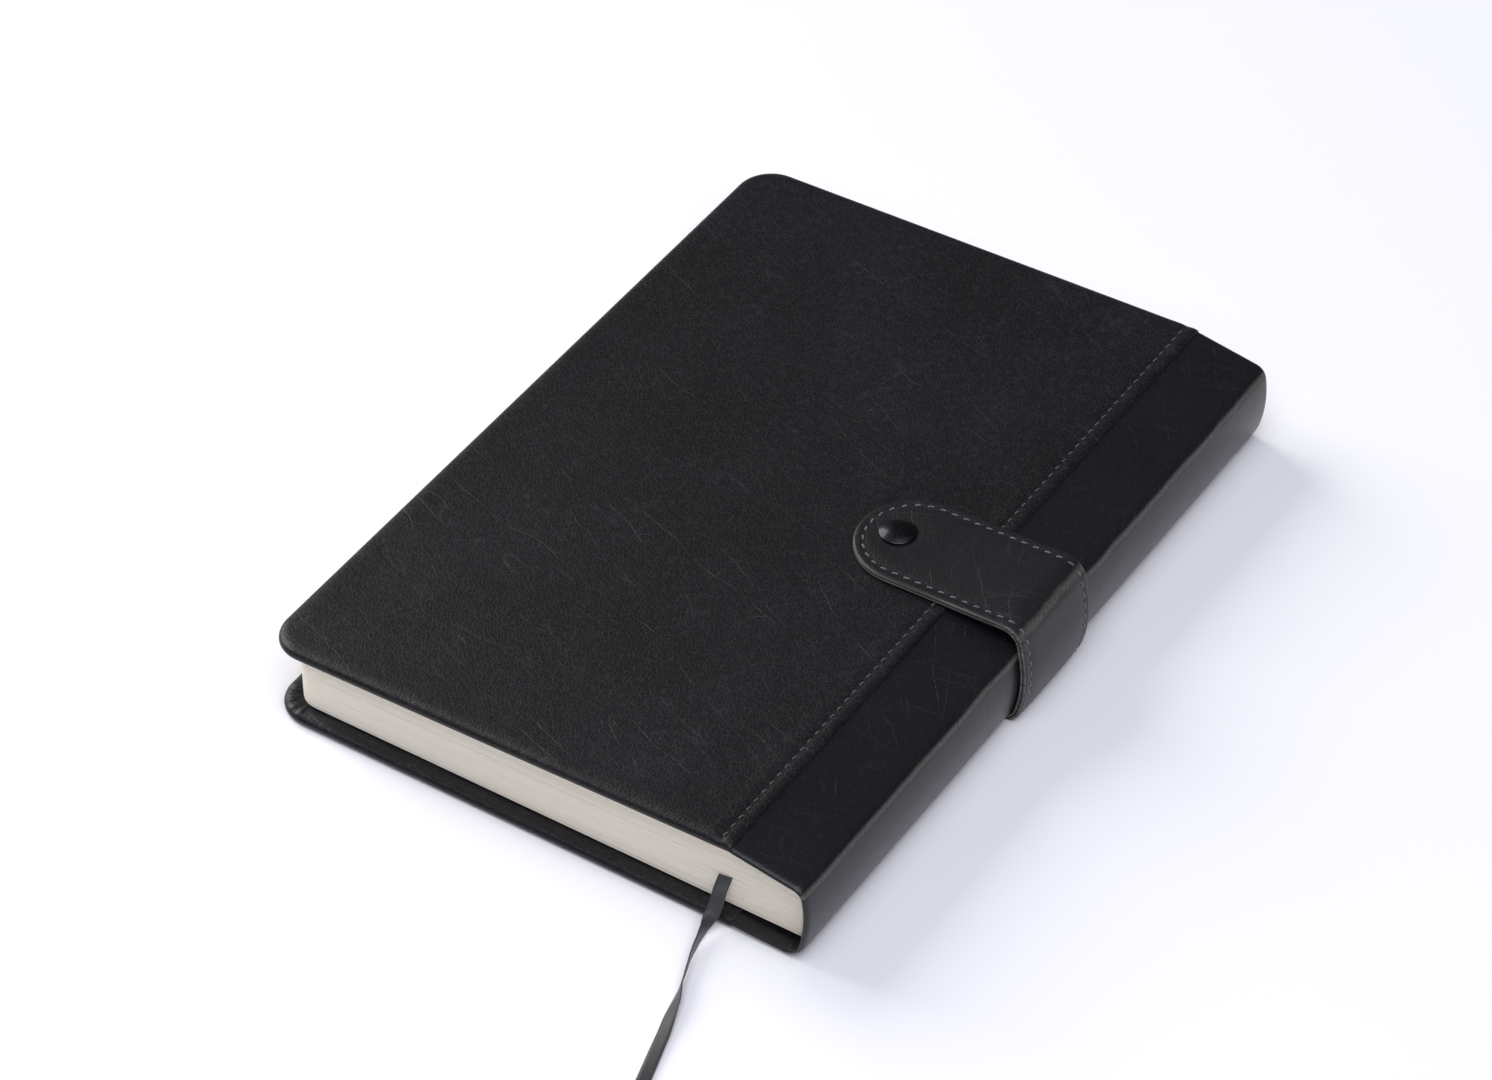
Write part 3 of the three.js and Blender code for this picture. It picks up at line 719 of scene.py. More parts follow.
seam_back, seam_front = (under_cover(side, SEAM_X + SEAM_ROOM) for side in ("back", "front"))
tuck_back, tuck_front = (under_cover(side, SEAM_X - WRAP_TUCK) for side in ("back", "front"))
tail_arc = arc(tail_start, TAIL_RADIUS, HEADINGS[0], HEADINGS[1])
side_arc = arc(SIDE_LOW, side_radius, HEADINGS[1], HEADINGS[2], 2.5)
top_arc = arc(SIDE_HIGH, TOP_RADIUS, HEADINGS[2], HEADINGS[3])
# The wrap and the strap are each made in two pieces, which meet in the middle of one straight
# step of the side, so that both have the same direction there and no line shows.
half = len(side_arc) // 2
side_arc.insert(half, side_arc[half - 1].lerp(side_arc[half], 0.5))
lower_line = [tuck_back, seam_back - FOLD, seam_back, seam_back.lerp(tail_start, NEAR_SEAM)]
lower_line += straight(seam_back, tail_start, 9) + tail_arc + side_arc[:half + 1]
upper_line = side_arc[half:] + top_arc + straight(top_arc[-1], seam_front, 9)
upper_line += [seam_front - FOLD, tuck_front]
upper_line.insert(-3, seam_front.lerp(top_arc[-1], NEAR_SEAM))
print(f"side radius {side_radius:.2f} mm, tail corner at x {tail_start.x:.2f}")

# %% Wrap leather
WRAP = 0.6
WRAP_INNER = 1.6    # depth of the inside of the turned-in edge
LIP_WRAP = 0.35
# (distance from the end of the book, depth), from the face round the rim and back to the face.
WRAP_RIM = [
    (3.5, 0.0), (2.0, 0.03), (1.1, 0.12), (0.45, 0.34), (0.08, 0.66), (0.0, 0.95), (0.1, 1.25),
    (0.45, 1.5), (1.2, WRAP_INNER), (6.0, WRAP_INNER), (TURN_IN, WRAP_INNER),
    (TURN_IN, WRAP_INNER - LIP_WRAP), (1.2, WRAP_INNER - LIP_WRAP), (0.75, 1.0), (1.2, WRAP),
    (TURN_IN, WRAP),
]
FACE_STEPS = 34
TUCK_ROOM = 0.1     # how far the tucked layer stays clear of the cover's own turned-in edge
WANDER = 0.05       # the mean and the swing of how far the face lies in from its line


def wrap_section(tucked):
    """The C-shaped section, as (y, depth) round its outline, or the flat layer that is tucked."""
    rim_start = WRAP_RIM[0][0]
    face = np.linspace(rim_start, LENGTH - rim_start, FACE_STEPS)
    head_rim = [(LENGTH - y, d) for y, d in WRAP_RIM]
    section = [(y, 0.0) for y in face[1:-1]] + head_rim + WRAP_RIM[::-1]
    if tucked:
        low, high = LEATHER + TUCK_ROOM, LENGTH - LEATHER - TUCK_ROOM
        section = [(min(max(y, low), high), min(d, WRAP)) for y, d in section]
    return section


def wrap_shell(name, line, material, arc_start, open_at):
    """A shell along part of the wrap line, open at the end where the other piece goes on."""
    verts, uvs, run = [], [], arc_start
    normals = [b - a for a, b in zip(shifted(line, 0.0), shifted(line, 1.0))]
    for i, (point, out) in enumerate(zip(line, normals)):
        run += (point - line[max(i - 1, 0)]).length
        tucked = point.x < SEAM_X + SEAM_ROOM / 2
        for y, depth in wrap_section(tucked):
            if not tucked and depth <= 0.1:
                depth += WANDER + WANDER * noise.noise(Vector((run / 11, y / 15, 9.0)))
            place = point - out * depth
            verts.append((place.x, y, place.z))
            uvs.append((run, y))
    per = len(wrap_section(False))
    cut_end = 0 if open_at == "last" else len(line) - 1
    faces = ring_faces(len(line), per) + [ring_end(cut_end, per)]
    piece = build(name, verts, faces, material, uvs)
    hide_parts("spine_leather")
    crisp_ends(piece, 1)
    soften(piece)
    print(name, len(verts), "points")
    return piece


def line_length(line):
    return sum((b - a).length for a, b in zip(line, line[1:]))


# The painted highlight, brownish like rubbed finish, lies a third of the way round the top corner.
LOWER_RUN = line_length(lower_line)
HIGHLIGHT_AND_WEAR_PLACE = LOWER_RUN + line_length(upper_line[:len(side_arc) - half + len(top_arc) // 3])
wrap_leather = leather("pu_leather_smooth", WRAP_COLOURS, 0.31, 1.42, 0.1, 0.1, True, HIGHLIGHT_AND_WEAR_PLACE)


def bend_between(piece):
    """Bakes the placing of a piece across the middle of the book into its mesh; it is not bent."""
    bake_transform(piece)


def turn_at_tail(piece):
    """Bakes the placing of a piece between the back cover and the spine, round the tail corner, into its
    mesh.
    """
    bend_between(piece)


def turn_at_top(piece):
    """Bakes the placing of a piece between the spine and the front cover, round the top corner, into its
    mesh.
    """
    bend_between(piece)


turn_at_tail(wrap_shell("spine_wrap_lower", lower_line, wrap_leather, 0.0, "last"))
turn_at_top(wrap_shell("spine_wrap_upper", upper_line, wrap_leather, LOWER_RUN, "first"))

# %% [markdown]
# The closing strap is two layers of leather glued over a thin core, stitched round its
# edge and pared thin at the tail, where it is glued under the back cover. It lies over
# the spine on its own line, turns the top corner, and ends in a round tip. A flat plate
# with a bevel would look like plastic; here one profile, measured in from the edge, gives
# the burnished edge, the valley under the stitches and the slight crown, and it is used
# twice: along the line, and round the tip as rings.

# %% The strap's line and profile
strap_low, strap_high = (to_book(corner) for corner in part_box("strap_flap_leather"))
STRAP_Y = LENGTH / 2
STRAP_HALF = (strap_high.y - strap_low.y) / 2
SNAP = to_book(sum((Vector(corner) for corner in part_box("snap_cap")), Vector()) / 2)
SNAP_TOP = to_book(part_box("snap_cap")[1]).z
STRAP_LIFT = 0.3
STRAP_TAIL = 12.0
TAIL_STEPS = 5
STRAP_BEND = 4.0
BAND_GAP = 0.08
SKIVED_LEFT = 0.154      # how much of its thickness the pared tail keeps
STITCH_EDGE = 2.35       # the stitches' distance from the strap's edge
PRESS_DEPTH = 0.2        # how far the snap presses the strap down, full and then fading out
PRESS_RADIUS = 7.6
PRESS_FADE = 2.4
# (distance in from the edge, height above the strap's underside), top centre to bottom centre.
TOP_PROFILE = [
    (STRAP_HALF, 2.14), (11.0, 2.13), (8.0, 2.1), (5.5, 2.06), (4.0, 2.0), (3.1, 1.88),
    (STITCH_EDGE, 1.8), (1.7, 1.88), (1.1, 1.93), (0.55, 1.9), (0.2, 1.78), (0.02, 1.55),
    (0.0, 1.25), (0.1, 0.96), (0.4, 0.93), (2.6, 0.93), (3.3, 1.15), (STRAP_HALF, 1.15),
]
LINING_PROFILE = [
    (STRAP_HALF, 0.7), (3.3, 0.7), (2.6, 0.87), (0.5, 0.87), (0.14, 0.84), (0.0, 0.6),
    (0.02, 0.3), (0.18, 0.1), (0.6, 0.0), (3.0, 0.0), (8.0, 0.0), (STRAP_HALF, 0.0),
]
FRONT_HEADING = 180 + math.degrees(math.atan(SLOPE))
HINGE_X = to_book(joint_at["strap_open"]).x
TIP_X = strap_low.x + STRAP_HALF
FLAP_START = 0.5         # how far past the bend the flap's own piece starts


# Acrylic edge paint over cut layers: a satin coat in which the layers still show as lines.
edge_paint = mottled("edge_paint_graphite", ("#242322", "#6f6b66"), (0.35, 0.65), (1.0, 3.0, 0.5),
                     (0.08, 0.5), stretch=(0.06, 0.06, 3.0), roughness=0.5, ior=1.45)


def strap_height(x, height):
    return level("front", x, -STRAP_LIFT - height)


bend_end = Vector((HINGE_X, 0, strap_height(HINGE_X, 0)))
bend_start = bend_end - arc_offset(STRAP_BEND, FRONT_HEADING) + arc_offset(STRAP_BEND, HEADINGS[2])
tail_share = (tail_start.x - STRAP_TAIL - seam_back.x) / (tail_start.x - seam_back.x)
tail_end = seam_back.lerp(tail_start, tail_share)
under = [tail_end] + straight(tail_end, tail_start, TAIL_STEPS) + tail_arc + side_arc
strap_line = shifted(under, BAND_GAP)
strap_line += straight(strap_line[-1], bend_start, 2)
strap_line += arc(bend_start, STRAP_BEND, HEADINGS[2], FRONT_HEADING, 6.0)
strap_line.append(strap_line[-1] + heading(FRONT_HEADING) * FLAP_START)
SKIVE_STEPS = 1 + len(tail_arc) // 2  # the pared tail thickens over these stations of the corner
strap_left = [SKIVED_LEFT + (1 - SKIVED_LEFT) * clamp((i - TAIL_STEPS) / SKIVE_STEPS) ** 2
              for i in range(len(strap_line))]
strap_split = 1 + TAIL_STEPS + len(tail_arc) + half
STRAP_RUN = line_length(strap_line[:-1])
print(f"strap line {STRAP_RUN:.1f} mm round the spine")


# %% Strap leather and lining
def paint_edge(piece, near=0.25):
    """Gives the faces within `near` mm of the strap's sides the edge paint."""
    piece.data.materials.append(edge_paint)
    for face in piece.data.polygons:
        insets = []
        for index in face.vertices:
            x, y, _ = to_book(piece.data.vertices[index].co)
            across = math.hypot(max(0.0, TIP_X - x), y - STRAP_Y)
            insets.append(STRAP_HALF - across)
        if max(insets) < near:
            face.material_index = 1


def strap_band(name, first, last, profile, material, slot, replaced, closed_at):
    """The strap along its line between two stations, closed at the stations that are given."""
    section = [(-STRAP_HALF + e, h) for e, h in profile[::-1]]
    section += [(STRAP_HALF - e, h) for e, h in profile[1:-1]]
    lifted = [shifted(strap_line, [h * left for left in strap_left]) for _, h in section]
    verts, uvs, per = [], [], len(section)
    for i in range(first, last + 1):
        run = line_length(strap_line[:i + 1])
        for k, (y, _) in enumerate(section):
            verts.append((lifted[k][i].x, STRAP_Y + y, lifted[k][i].z))
            uvs.append((run, y))
    faces = ring_faces(last - first + 1, per)
    faces += [ring_end(station - first, per) for station in closed_at]
    piece = build(name, verts, faces, material, uvs)
    paint_edge(piece)
    crisp_ends(piece, len(closed_at))
    soften(piece)
    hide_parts(replaced)
    return piece


def flap_ring(inset, straight_steps=14, round_steps=28):
    """The strap's outline past the bend, at a distance in from its edge."""
    radius = STRAP_HALF - inset
    xs = np.linspace(HINGE_X - FLAP_START, TIP_X, straight_steps + 1)
    turns = [math.pi * i / round_steps for i in range(1, round_steps)]
    ring = [(x, radius) for x in xs]
    ring += [(TIP_X - radius * math.sin(t), radius * math.cos(t)) for t in turns]
    return ring + [(x, -radius) for x in reversed(xs)]


def snap_press(x, y):
    """How far the snap presses the strap down."""
    away = math.hypot(x - SNAP.x, y)
    return PRESS_DEPTH * clamp((PRESS_RADIUS - away) / PRESS_FADE)


def strap_flap(name, profile, material, slot, replaced, closed):
    """The strap past its bend, as rings that shrink to its middle line."""
    verts, uvs, faces = [], [], []
    for inset, height in profile:
        for x, y in flap_ring(inset):
            pressed = snap_press(x, y) if height > 1.5 else 0.0
            verts.append((x, STRAP_Y + y, strap_height(x, height - pressed)))
            uvs.append((STRAP_RUN + HINGE_X - x, y))
    per = len(flap_ring(0.0))
    for k in range(len(profile) - 1):
        for i in range(per - 1):
            a = k * per + i
            faces.append((a, a + per, a + per + 1, a + 1))
    if closed:
        faces.append(tuple(k * per for k in reversed(range(len(profile))))
                     + tuple(k * per + per - 1 for k in range(1, len(profile) - 1)))
    piece = build(name, verts, faces, material, uvs)
    weld(piece)
    paint_edge(piece)
    crisp_ends(piece, 1 if closed else 0)
    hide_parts(replaced)
    return piece


def bore(piece, radius):
    """Cuts the snap's hole through a layer of the strap."""
    cutter_mesh = bmesh.new()
    bmesh.ops.create_cone(cutter_mesh, cap_ends=True, segments=64, depth=20 * MM,
                          radius1=radius * MM, radius2=radius * MM,
                          matrix=Matrix.Translation(to_frame(*SNAP)))
    mesh = bpy.data.meshes.new("cutter")
    cutter_mesh.to_mesh(mesh)
    cutter_mesh.free()
    cutter = add_object("cutter", mesh)
    cut = piece.modifiers.new("bore", "BOOLEAN")
    cut.operation, cut.object, cut.solver = "DIFFERENCE", cutter, "EXACT"
    bpy.context.view_layer.update()
    evaluated = piece.evaluated_get(bpy.context.evaluated_depsgraph_get())
    piece.data = bpy.data.meshes.new_from_object(evaluated)
    piece.modifiers.clear()
    bpy.data.objects.remove(cutter)


def open_with_flap(piece):
    """Bakes the placing of a piece from the front cover to the strap's free end into its mesh."""
    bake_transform(piece)


SOCKET_BORE = 4.3        # radius of the hole round the snap's socket
last_station = len(strap_line) - 1
# The same painted highlight, brownish like rubbed finish, crosses the strap's bend.
STRAP_HIGHLIGHT_AND_WEAR = STRAP_RUN - 3.6
strap_leather = leather("pu_leather_strap", STRAP_COLOURS, 0.38, 1.4, 0.1, 0.14, True, STRAP_HIGHLIGHT_AND_WEAR)
lining_leather = leather("pu_leather_lining", LINING_COLOURS, 0.48, 1.4, 0.08, 0.1, True)
for layer, profile, finish, slot in (
    ("leather", TOP_PROFILE, strap_leather, "smooth_leather"),
    ("lining", LINING_PROFILE, lining_leather, "strap_lining"),
):
    looks = (profile, finish, slot)
    band = f"strap_band_{layer}"
    bored = layer == "lining"  # the lining takes the snap, so its flap has to be a closed solid
    turn_at_tail(strap_band(f"strap_{layer}_at_tail", 0, strap_split, *looks, band, [0]))
    top_ends = [last_station] if bored else []
    turn_at_top(strap_band(f"strap_{layer}_at_top", strap_split, last_station, *looks, band, top_ends))
    flap = strap_flap(f"strap_{layer}_flap", *looks, f"strap_flap_{layer}", bored)
    soften(flap)
    if bored:
        bore(flap, SOCKET_BORE)
    open_with_flap(flap)
    print("strap", layer, "in three pieces")

# %% [markdown]
# The stitching is saddle stitch in a polyester thread: short slanted stitches that dip
# into a hole at each end. A dashed texture would be flat from the side, so each stitch is
# a small bent capsule, and each hole a low near-black disc between two stitches, painted
# shade for the dark inside the hole. One function sews a row along any line of places and outward
# directions.

# %% Stitches
STITCH_PITCH = 3.2
STITCH_LENGTH = 1.9
STITCH_RADIUS = 0.19
STITCH_SLANT = math.radians(11)
STITCH_RINGS, STITCH_SIDES = 9, 8
STITCH_RISE, STITCH_DIP = 0.1, 0.34  # over the leather in the middle, and down at the ends
STITCH_FLAT = 1.15       # width over height
STITCH_START = 3.0       # from the strap's end to its first stitch
SEAM_START = 1.4         # from the end of the seam's line to its first stitch
SEAM_END = 1.6           # from the end of the cover to the end of the seam's line
TIP_STEPS = 40
GLUED_BELOW = 0.45       # the pared tail is glued, not sewn
HOLE_SIDES = 10
HOLE_PROFILE = ((0.42, -0.02), (0.3, 0.045), (0.12, 0.02))  # (radius, height) from rim to middle


def along_line(line, pitch, start):
    """Places at an even pitch on a line of (point, outward) pairs, each with its direction."""
    found, next_at, run = [], start, 0.0
    for (a, out_a), (b, out_b) in zip(line, line[1:]):
        step = (b - a).length
        while step > 1e-9 and run + step >= next_at:
            t = (next_at - run) / step
            found.append((a.lerp(b, t), (b - a).normalized(), out_a.lerp(out_b, t).normalized()))
            next_at += pitch
        run += step
    return found


def stitch(place, along, out, slant):
    """The rings of one stitch."""
    across = out.cross(along).normalized()
    direction = along * math.cos(slant) + across * math.sin(slant)
    sideways = out.cross(direction).normalized()
    verts = []
    for i in range(STITCH_RINGS):
        t = i / (STITCH_RINGS - 1)
        radius = STITCH_RADIUS * max(0.25, (1 - abs(2 * t - 1) ** 4) ** 0.5)
        centre = place + direction * ((t - 0.5) * STITCH_LENGTH)
        centre = centre + out * (STITCH_RISE - STITCH_DIP * abs(2 * t - 1) ** 3)
        for c, s in round_places(STITCH_SIDES):
            verts.append(centre + (sideways * (STITCH_FLAT * c) + out * s) * radius)
    return verts


def sew(name, places, material, slant=STITCH_SLANT):
    """One object that holds a row of stitches."""
    verts, faces = [], []
    for place, along, out in places:
        start = len(verts)
        verts += stitch(place, along, out, slant)
        faces += ring_solid(STITCH_RINGS, STITCH_SIDES, start)
    piece = build(name, verts, faces, material)
    print(name, len(places), "stitches")
    return piece


def pierce(name, places, material):
    """The holes half a pitch on from each stitch, as low near-black discs of painted shade."""
    verts, faces = [], []
    for place, along, out in places:
        across = out.cross(along).normalized()
        faces += ring_solid(len(HOLE_PROFILE), HOLE_SIDES, len(verts))
        for radius, height in HOLE_PROFILE:
            for c, s in round_places(HOLE_SIDES):
                verts.append(place + (along * c + across * s) * radius + out * height)
    return build(name, verts, faces, material)


def strap_stitch_line():
    """The stitch line round the strap: (point, outward) from tail to tip and back."""
    top = dict(TOP_PROFILE)[STITCH_EDGE]
    half_width = STRAP_HALF - STITCH_EDGE
    lifted = shifted(strap_line, [top * left for left in strap_left])
    outs = [b - a for a, b in zip(strap_line, shifted(strap_line, 1.0))]
    band = [(Vector((p.x, STRAP_Y + half_width, p.z)), out) for p, out in list(zip(lifted, outs))[:-1]]
    up = outs[-1]
    tip = []
    for i in range(TIP_STEPS + 1):
        turned = math.pi * i / TIP_STEPS
        x = TIP_X - half_width * math.sin(turned)
        tip.append((Vector((x, STRAP_Y + half_width * math.cos(turned), strap_height(x, top))), up))
    near = [(Vector((p.x, 2 * STRAP_Y - p.y, p.z)), out) for p, out in reversed(band)]
    return band + tip + near


# Bonded polyester, three plies twisted: fine bands of light and dark.
thread_pale, thread_dark = (
    mottled(name, colours, (0.3, 0.7), (2.6, 2.0, 0.5), (0.1, 0.5),
            roughness=0.62, ior=1.55, Sheen_Weight=0.3)
    for name, colours in (
        ("polyester_thread_grey", ("#3f4044", "#6f7075")),
        ("polyester_thread_charcoal", ("#26272a", "#47484c")),
    )
)
# Painted shade: a near-black finish stands for the dark inside each needle hole.
hole_painted_shade, hole_painted_shade_shader = new_material("needle_hole_painted_shade", roughness=0.9)
hole_painted_shade_shader.inputs["Base Color"].default_value = linear("#08080a")


def region(point):
    """Which of the strap's three pieces a place belongs to."""
    if point.x < HINGE_X and point.z > strap_height(HINGE_X, 0) - 3:
        return "flap"
    return "at_tail" if point.z < strap_line[strap_split].z else "at_top"


bend_at = {"at_tail": turn_at_tail, "at_top": turn_at_top, "flap": open_with_flap}


def strap_places(part, start):
    """The places on one piece of the strap at the stitches' pitch."""
    found = along_line(strap_stitch_line(), STITCH_PITCH, start)
    return [place for place in found if place[0].z > GLUED_BELOW and region(place[0]) == part]


for part, bend in bend_at.items():
    row = sew(f"strap_stitches_{part}", strap_places(part, STITCH_START), thread_pale)
    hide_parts("strap_thread")
    bend(row)
    between = strap_places(part, STITCH_START + STITCH_PITCH / 2)
    bend(pierce(f"strap_holes_{part}", between, hole_painted_shade))

for side in ("back", "front"):
    out = Vector((-SLOPE, 0, 1)).normalized() if side == "front" else Vector((0, 0, -1))
    height = level(side, STITCH_LINE, seam_depth(STITCH_LINE) - 0.02)
    along_seam = np.linspace(SEAM_END, LENGTH - SEAM_END, 60)
    line = [(Vector((STITCH_LINE, y, height)), out) for y in along_seam]
    places = along_line(line, STITCH_PITCH, SEAM_START)
    row = sew(f"seam_stitches_{side}", places, thread_dark, -STITCH_SLANT)
    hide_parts(f"{side}_seam_thread")
    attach(row, f"{side}_cover")
    between = along_line(line, STITCH_PITCH, SEAM_START + STITCH_PITCH / 2)
    holes = pierce(f"seam_holes_{side}", between, hole_painted_shade)
    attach(holes, f"{side}_cover")

# %% [markdown]
# The snap is a ring-spring press stud. Its cap is brass plated in black nickel and
# lacquered, so it is dark and glossy with a soft round highlight. A turned profile gives
# the rolled rim and the shallow dome; the spring socket, the stud and its post are bright
# steel and keep their CAD shapes.

# %% Snap
def metal(name, colour, roughness, grain, coat=0.0):
    """Metal with a fine irregular grain in its gloss."""
    material, shader = new_material(name, roughness, metallic=1.0, Coat_Weight=coat, Coat_Roughness=0.12)
    shader.inputs["Base Color"].default_value = linear(colour)
    inputs = {"Vector": in_millimetres(material), "Scale": 1 / grain, "Detail": 3.0}
    specks = add(material, "TexNoise", inputs).outputs["Fac"]
    spread = add(material, "ValToRGB", {"Fac": specks}, [(0.3, roughness * 0.85), (0.7, roughness * 1.2)])
    link(material, spread.outputs["Color"], shader.inputs["Roughness"])
    relief = add(material, "Bump", {"Height": specks, "Distance": 0.01 * MM, "Strength": 0.3})
    link(material, relief.outputs["Normal"], shader.inputs["Normal"])
    return material


black_nickel = metal("black_nickel_lacquered", "#2b2c30", 0.34, 0.6, coat=0.3)
spring_steel = metal("nickel_plated_steel", "#a7a7aa", 0.3, 0.4)
CAP_RADIUS = (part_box("snap_cap")[1][0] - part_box("snap_cap")[0][0]) / 2 / MM
CAP_HEIGHT = 1.5
# (share of the radius, share of the height) of the cap's outside, from its shank to its crown.
CAP_PROFILE = [
    (0.3, -0.85), (0.3, 0.0), (0.9, 0.0), (0.97, 0.03), (1.0, 0.13), (0.995, 0.26), (0.965, 0.36),
    (0.925, 0.4), (0.88, 0.46), (0.78, 0.6), (0.64, 0.76), (0.46, 0.9), (0.27, 0.975), (0.1, 1.0),
]
CAP_SIDES = 56


def turned_cap():
    """The cap as a closed turned solid."""
    verts = []
    for share, height in CAP_PROFILE:
        centre = Vector((SNAP.x, SNAP.y, SNAP_TOP + (height - 1) * CAP_HEIGHT))
        verts += [centre + Vector((c, s, 0)) * (share * CAP_RADIUS) for c, s in round_places(CAP_SIDES)]
    faces = ring_solid(len(CAP_PROFILE), CAP_SIDES)
    return build("snap_cap_domed", verts, faces, black_nickel)


cap = turned_cap()
soften(cap)
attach(cap, "strap_flap")
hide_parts("snap_cap")
print(f"snap cap {2 * CAP_RADIUS:.1f} mm across")

# %% [markdown]
# The text block is twelve sewn signatures of cream book paper. Nobody models 300 leaves,
# but one smooth block would lose the fine lines that say paper, so each signature is one
# closed solid whose edge has a ridge for every few leaves, each trimmed a hair unevenly.
# The paper's own lines, finer than the ridges, are noise stretched along the edge.

# %% Text block
SQUARE = 4.36            # how far the leaves stand back from the cover's edge
LEAF_CORNER = 6.24
BLOCK_DEPTH = 3.42       # depth of the first leaf under the outside of a cover
SPINE_DEPTH = 2.0        # depth of the leaves' folds inside the wrap line
SIGNATURES = 12
RIDGES = 7
BLOCK_RUN = 18.0         # millimetres of the paper's lines up the block's height
HALF_GAP = 0.008
RIDGE_GAP = 0.01
RIBBON_AT = 5            # the ribbon lies under this signature, counted from 0
RIBBON_X = 126.6
RIBBON_SLOT = 0.21       # how far the leaves part on each side of the ribbon
RIBBON_SPREAD = 4.2
LEAF_CORNER_STEPS = 10
EDGE_PLACES = np.linspace(0, 1, 56)  # along the tail and head edges, shares from fold to corner
CORNER_END = len(EDGE_PLACES) + LEAF_CORNER_STEPS - 2  # the tail corner's last place on a ring
whole_line = lower_line + upper_line[1:]
spine_line = shifted(whole_line, -SPINE_DEPTH)


def block_level(x, share):
    low, high = level("back", x, BLOCK_DEPTH), level("front", x, BLOCK_DEPTH)
    return low + share * (high - low)


def spine_reach(share):
    """How far a leaf at this share of the block's height reaches towards the spine."""
    above = [p.z - block_level(p.x, share) for p in spine_line]
    for (a, da), (b, db) in zip(zip(spine_line, above), zip(spine_line[1:], above[1:])):
        if da < 0 <= db:
            return a.lerp(b, da / (da - db)).x
    raise ValueError(f"no fold at share {share}")


def at_ribbon(index, lift):
    """1 where the face above or below this gap is the one that the ribbon lies against."""
    return 1.0 if (index == RIBBON_AT and lift > 0) or (index == RIBBON_AT - 1 and lift < 0) else 0.0


def leaf_outline(share, trim):
    """The edge of the leaves at one height, trimmed back a little, from the tail's fold round."""
    inset, reach = SQUARE + trim, spine_reach(share)
    radius = LEAF_CORNER - trim
    centre = inset + radius
    turns = [math.radians(90 * i / (LEAF_CORNER_STEPS - 1)) for i in range(LEAF_CORNER_STEPS)]
    edge = [reach + (centre - reach) * place for place in EDGE_PLACES[:-1]]
    ring = [(x, inset) for x in edge]
    ring += [(centre - radius * math.sin(t), centre - radius * math.cos(t)) for t in turns]
    ring += [(inset, y) for y in np.linspace(centre, LENGTH - centre, 16)[1:-1]]
    ring += [(centre - radius * math.cos(t), LENGTH - centre + radius * math.sin(t)) for t in turns]
    ring += [(x, LENGTH - inset) for x in reversed(edge)]
    return [(x, y, block_level(x, share)) for x, y in ring]


def signature_levels(index, draw):
    """(share, trim, lift) of each ring of one signature, with a groove between its ridges."""
    step = 1 / SIGNATURES / RIDGES
    rings = []
    for ridge in range(RIDGES):
        trim = draw.uniform(0.0, 0.05)
        low = index / SIGNATURES + ridge * step
        rings.append((low, trim, HALF_GAP if ridge == 0 else RIDGE_GAP))
        rings.append((low + step, trim, -HALF_GAP if ridge == RIDGES - 1 else -RIDGE_GAP))
        if ridge < RIDGES - 1:
            rings.append((low + step, trim + draw.uniform(0.01, 0.04), 0.0))
    return rings


def signature(name, index, draw):
    """One signature as a closed solid, whose two flat sides are leaves."""
    verts, uvs = [], []
    rings = signature_levels(index, draw)
    for share, trim, lift in rings:
        run = 0.0
        ring = leaf_outline(share, trim)
        for i, (x, y, z) in enumerate(ring):
            run += math.dist(ring[i - 1][:2], (x, y)) if i else 0.0
            parted = 0.0
            if abs(lift) == HALF_GAP:
                parted = RIBBON_SLOT * math.exp(-((x - RIBBON_X) / RIBBON_SPREAD) ** 2)
            verts.append((x, y, z + lift + math.copysign(parted * at_ribbon(index, lift), lift)))
            uvs.append((run, share * BLOCK_RUN + lift))
    per = len(ring)
    faces = ring_faces(len(rings), per)
    for base in (0, (len(rings) - 1) * per):
        ladder = [(i, i + 1, per - 2 - i, per - 1 - i) for i in range(CORNER_END)]
        ladder.append(range(CORNER_END, per - CORNER_END))
        faces += [tuple(base + place for place in places) for places in ladder]
    piece = build(name, verts, faces, paper, uvs)
    piece.data.materials.append(sheet)
    flat_faces = 2 * (CORNER_END + 1)
    for face in list(piece.data.polygons)[-flat_faces:]:
        face.material_index = 1
    crisp_ends(piece, flat_faces)
    return piece


def book_paper():
    """Uncoated cream offset paper seen on its cut edge: matte, with fine uneven lines."""
    material, shader = new_material("book_paper_cream", roughness=0.88, ior=1.5)
    place = in_millimetres(material, True, (0.02, 4.5, 1))
    inputs = {"Vector": place, "Scale": 1.0, "Detail": 4.0, "Roughness": 0.7}
    lines = add(material, "TexNoise", inputs).outputs["Fac"]
    place = in_millimetres(material, True, (0.012, 0.25, 1))
    patches = add(material, "TexNoise", {"Vector": place, "Scale": 1.0}).outputs["Fac"]
    stops = [(0.3, "#ebe2d2"), (0.5, "#f6eedf"), (0.7, "#fcf5e8")]
    fine = add(material, "ValToRGB", {"Fac": lines}, stops).outputs["Color"]
    stops = [(0.3, "#f2e8d8"), (0.7, "#faf2e4")]
    broad = add(material, "ValToRGB", {"Fac": patches}, stops).outputs["Color"]
    colour = add(material, "Mix", {"Factor": 0.4, "A": fine, "B": broad}, data_type="RGBA")
    dress(material, shader, colour.outputs["Result"], lines, 0.05, 0.5)
    return material


paper = book_paper()
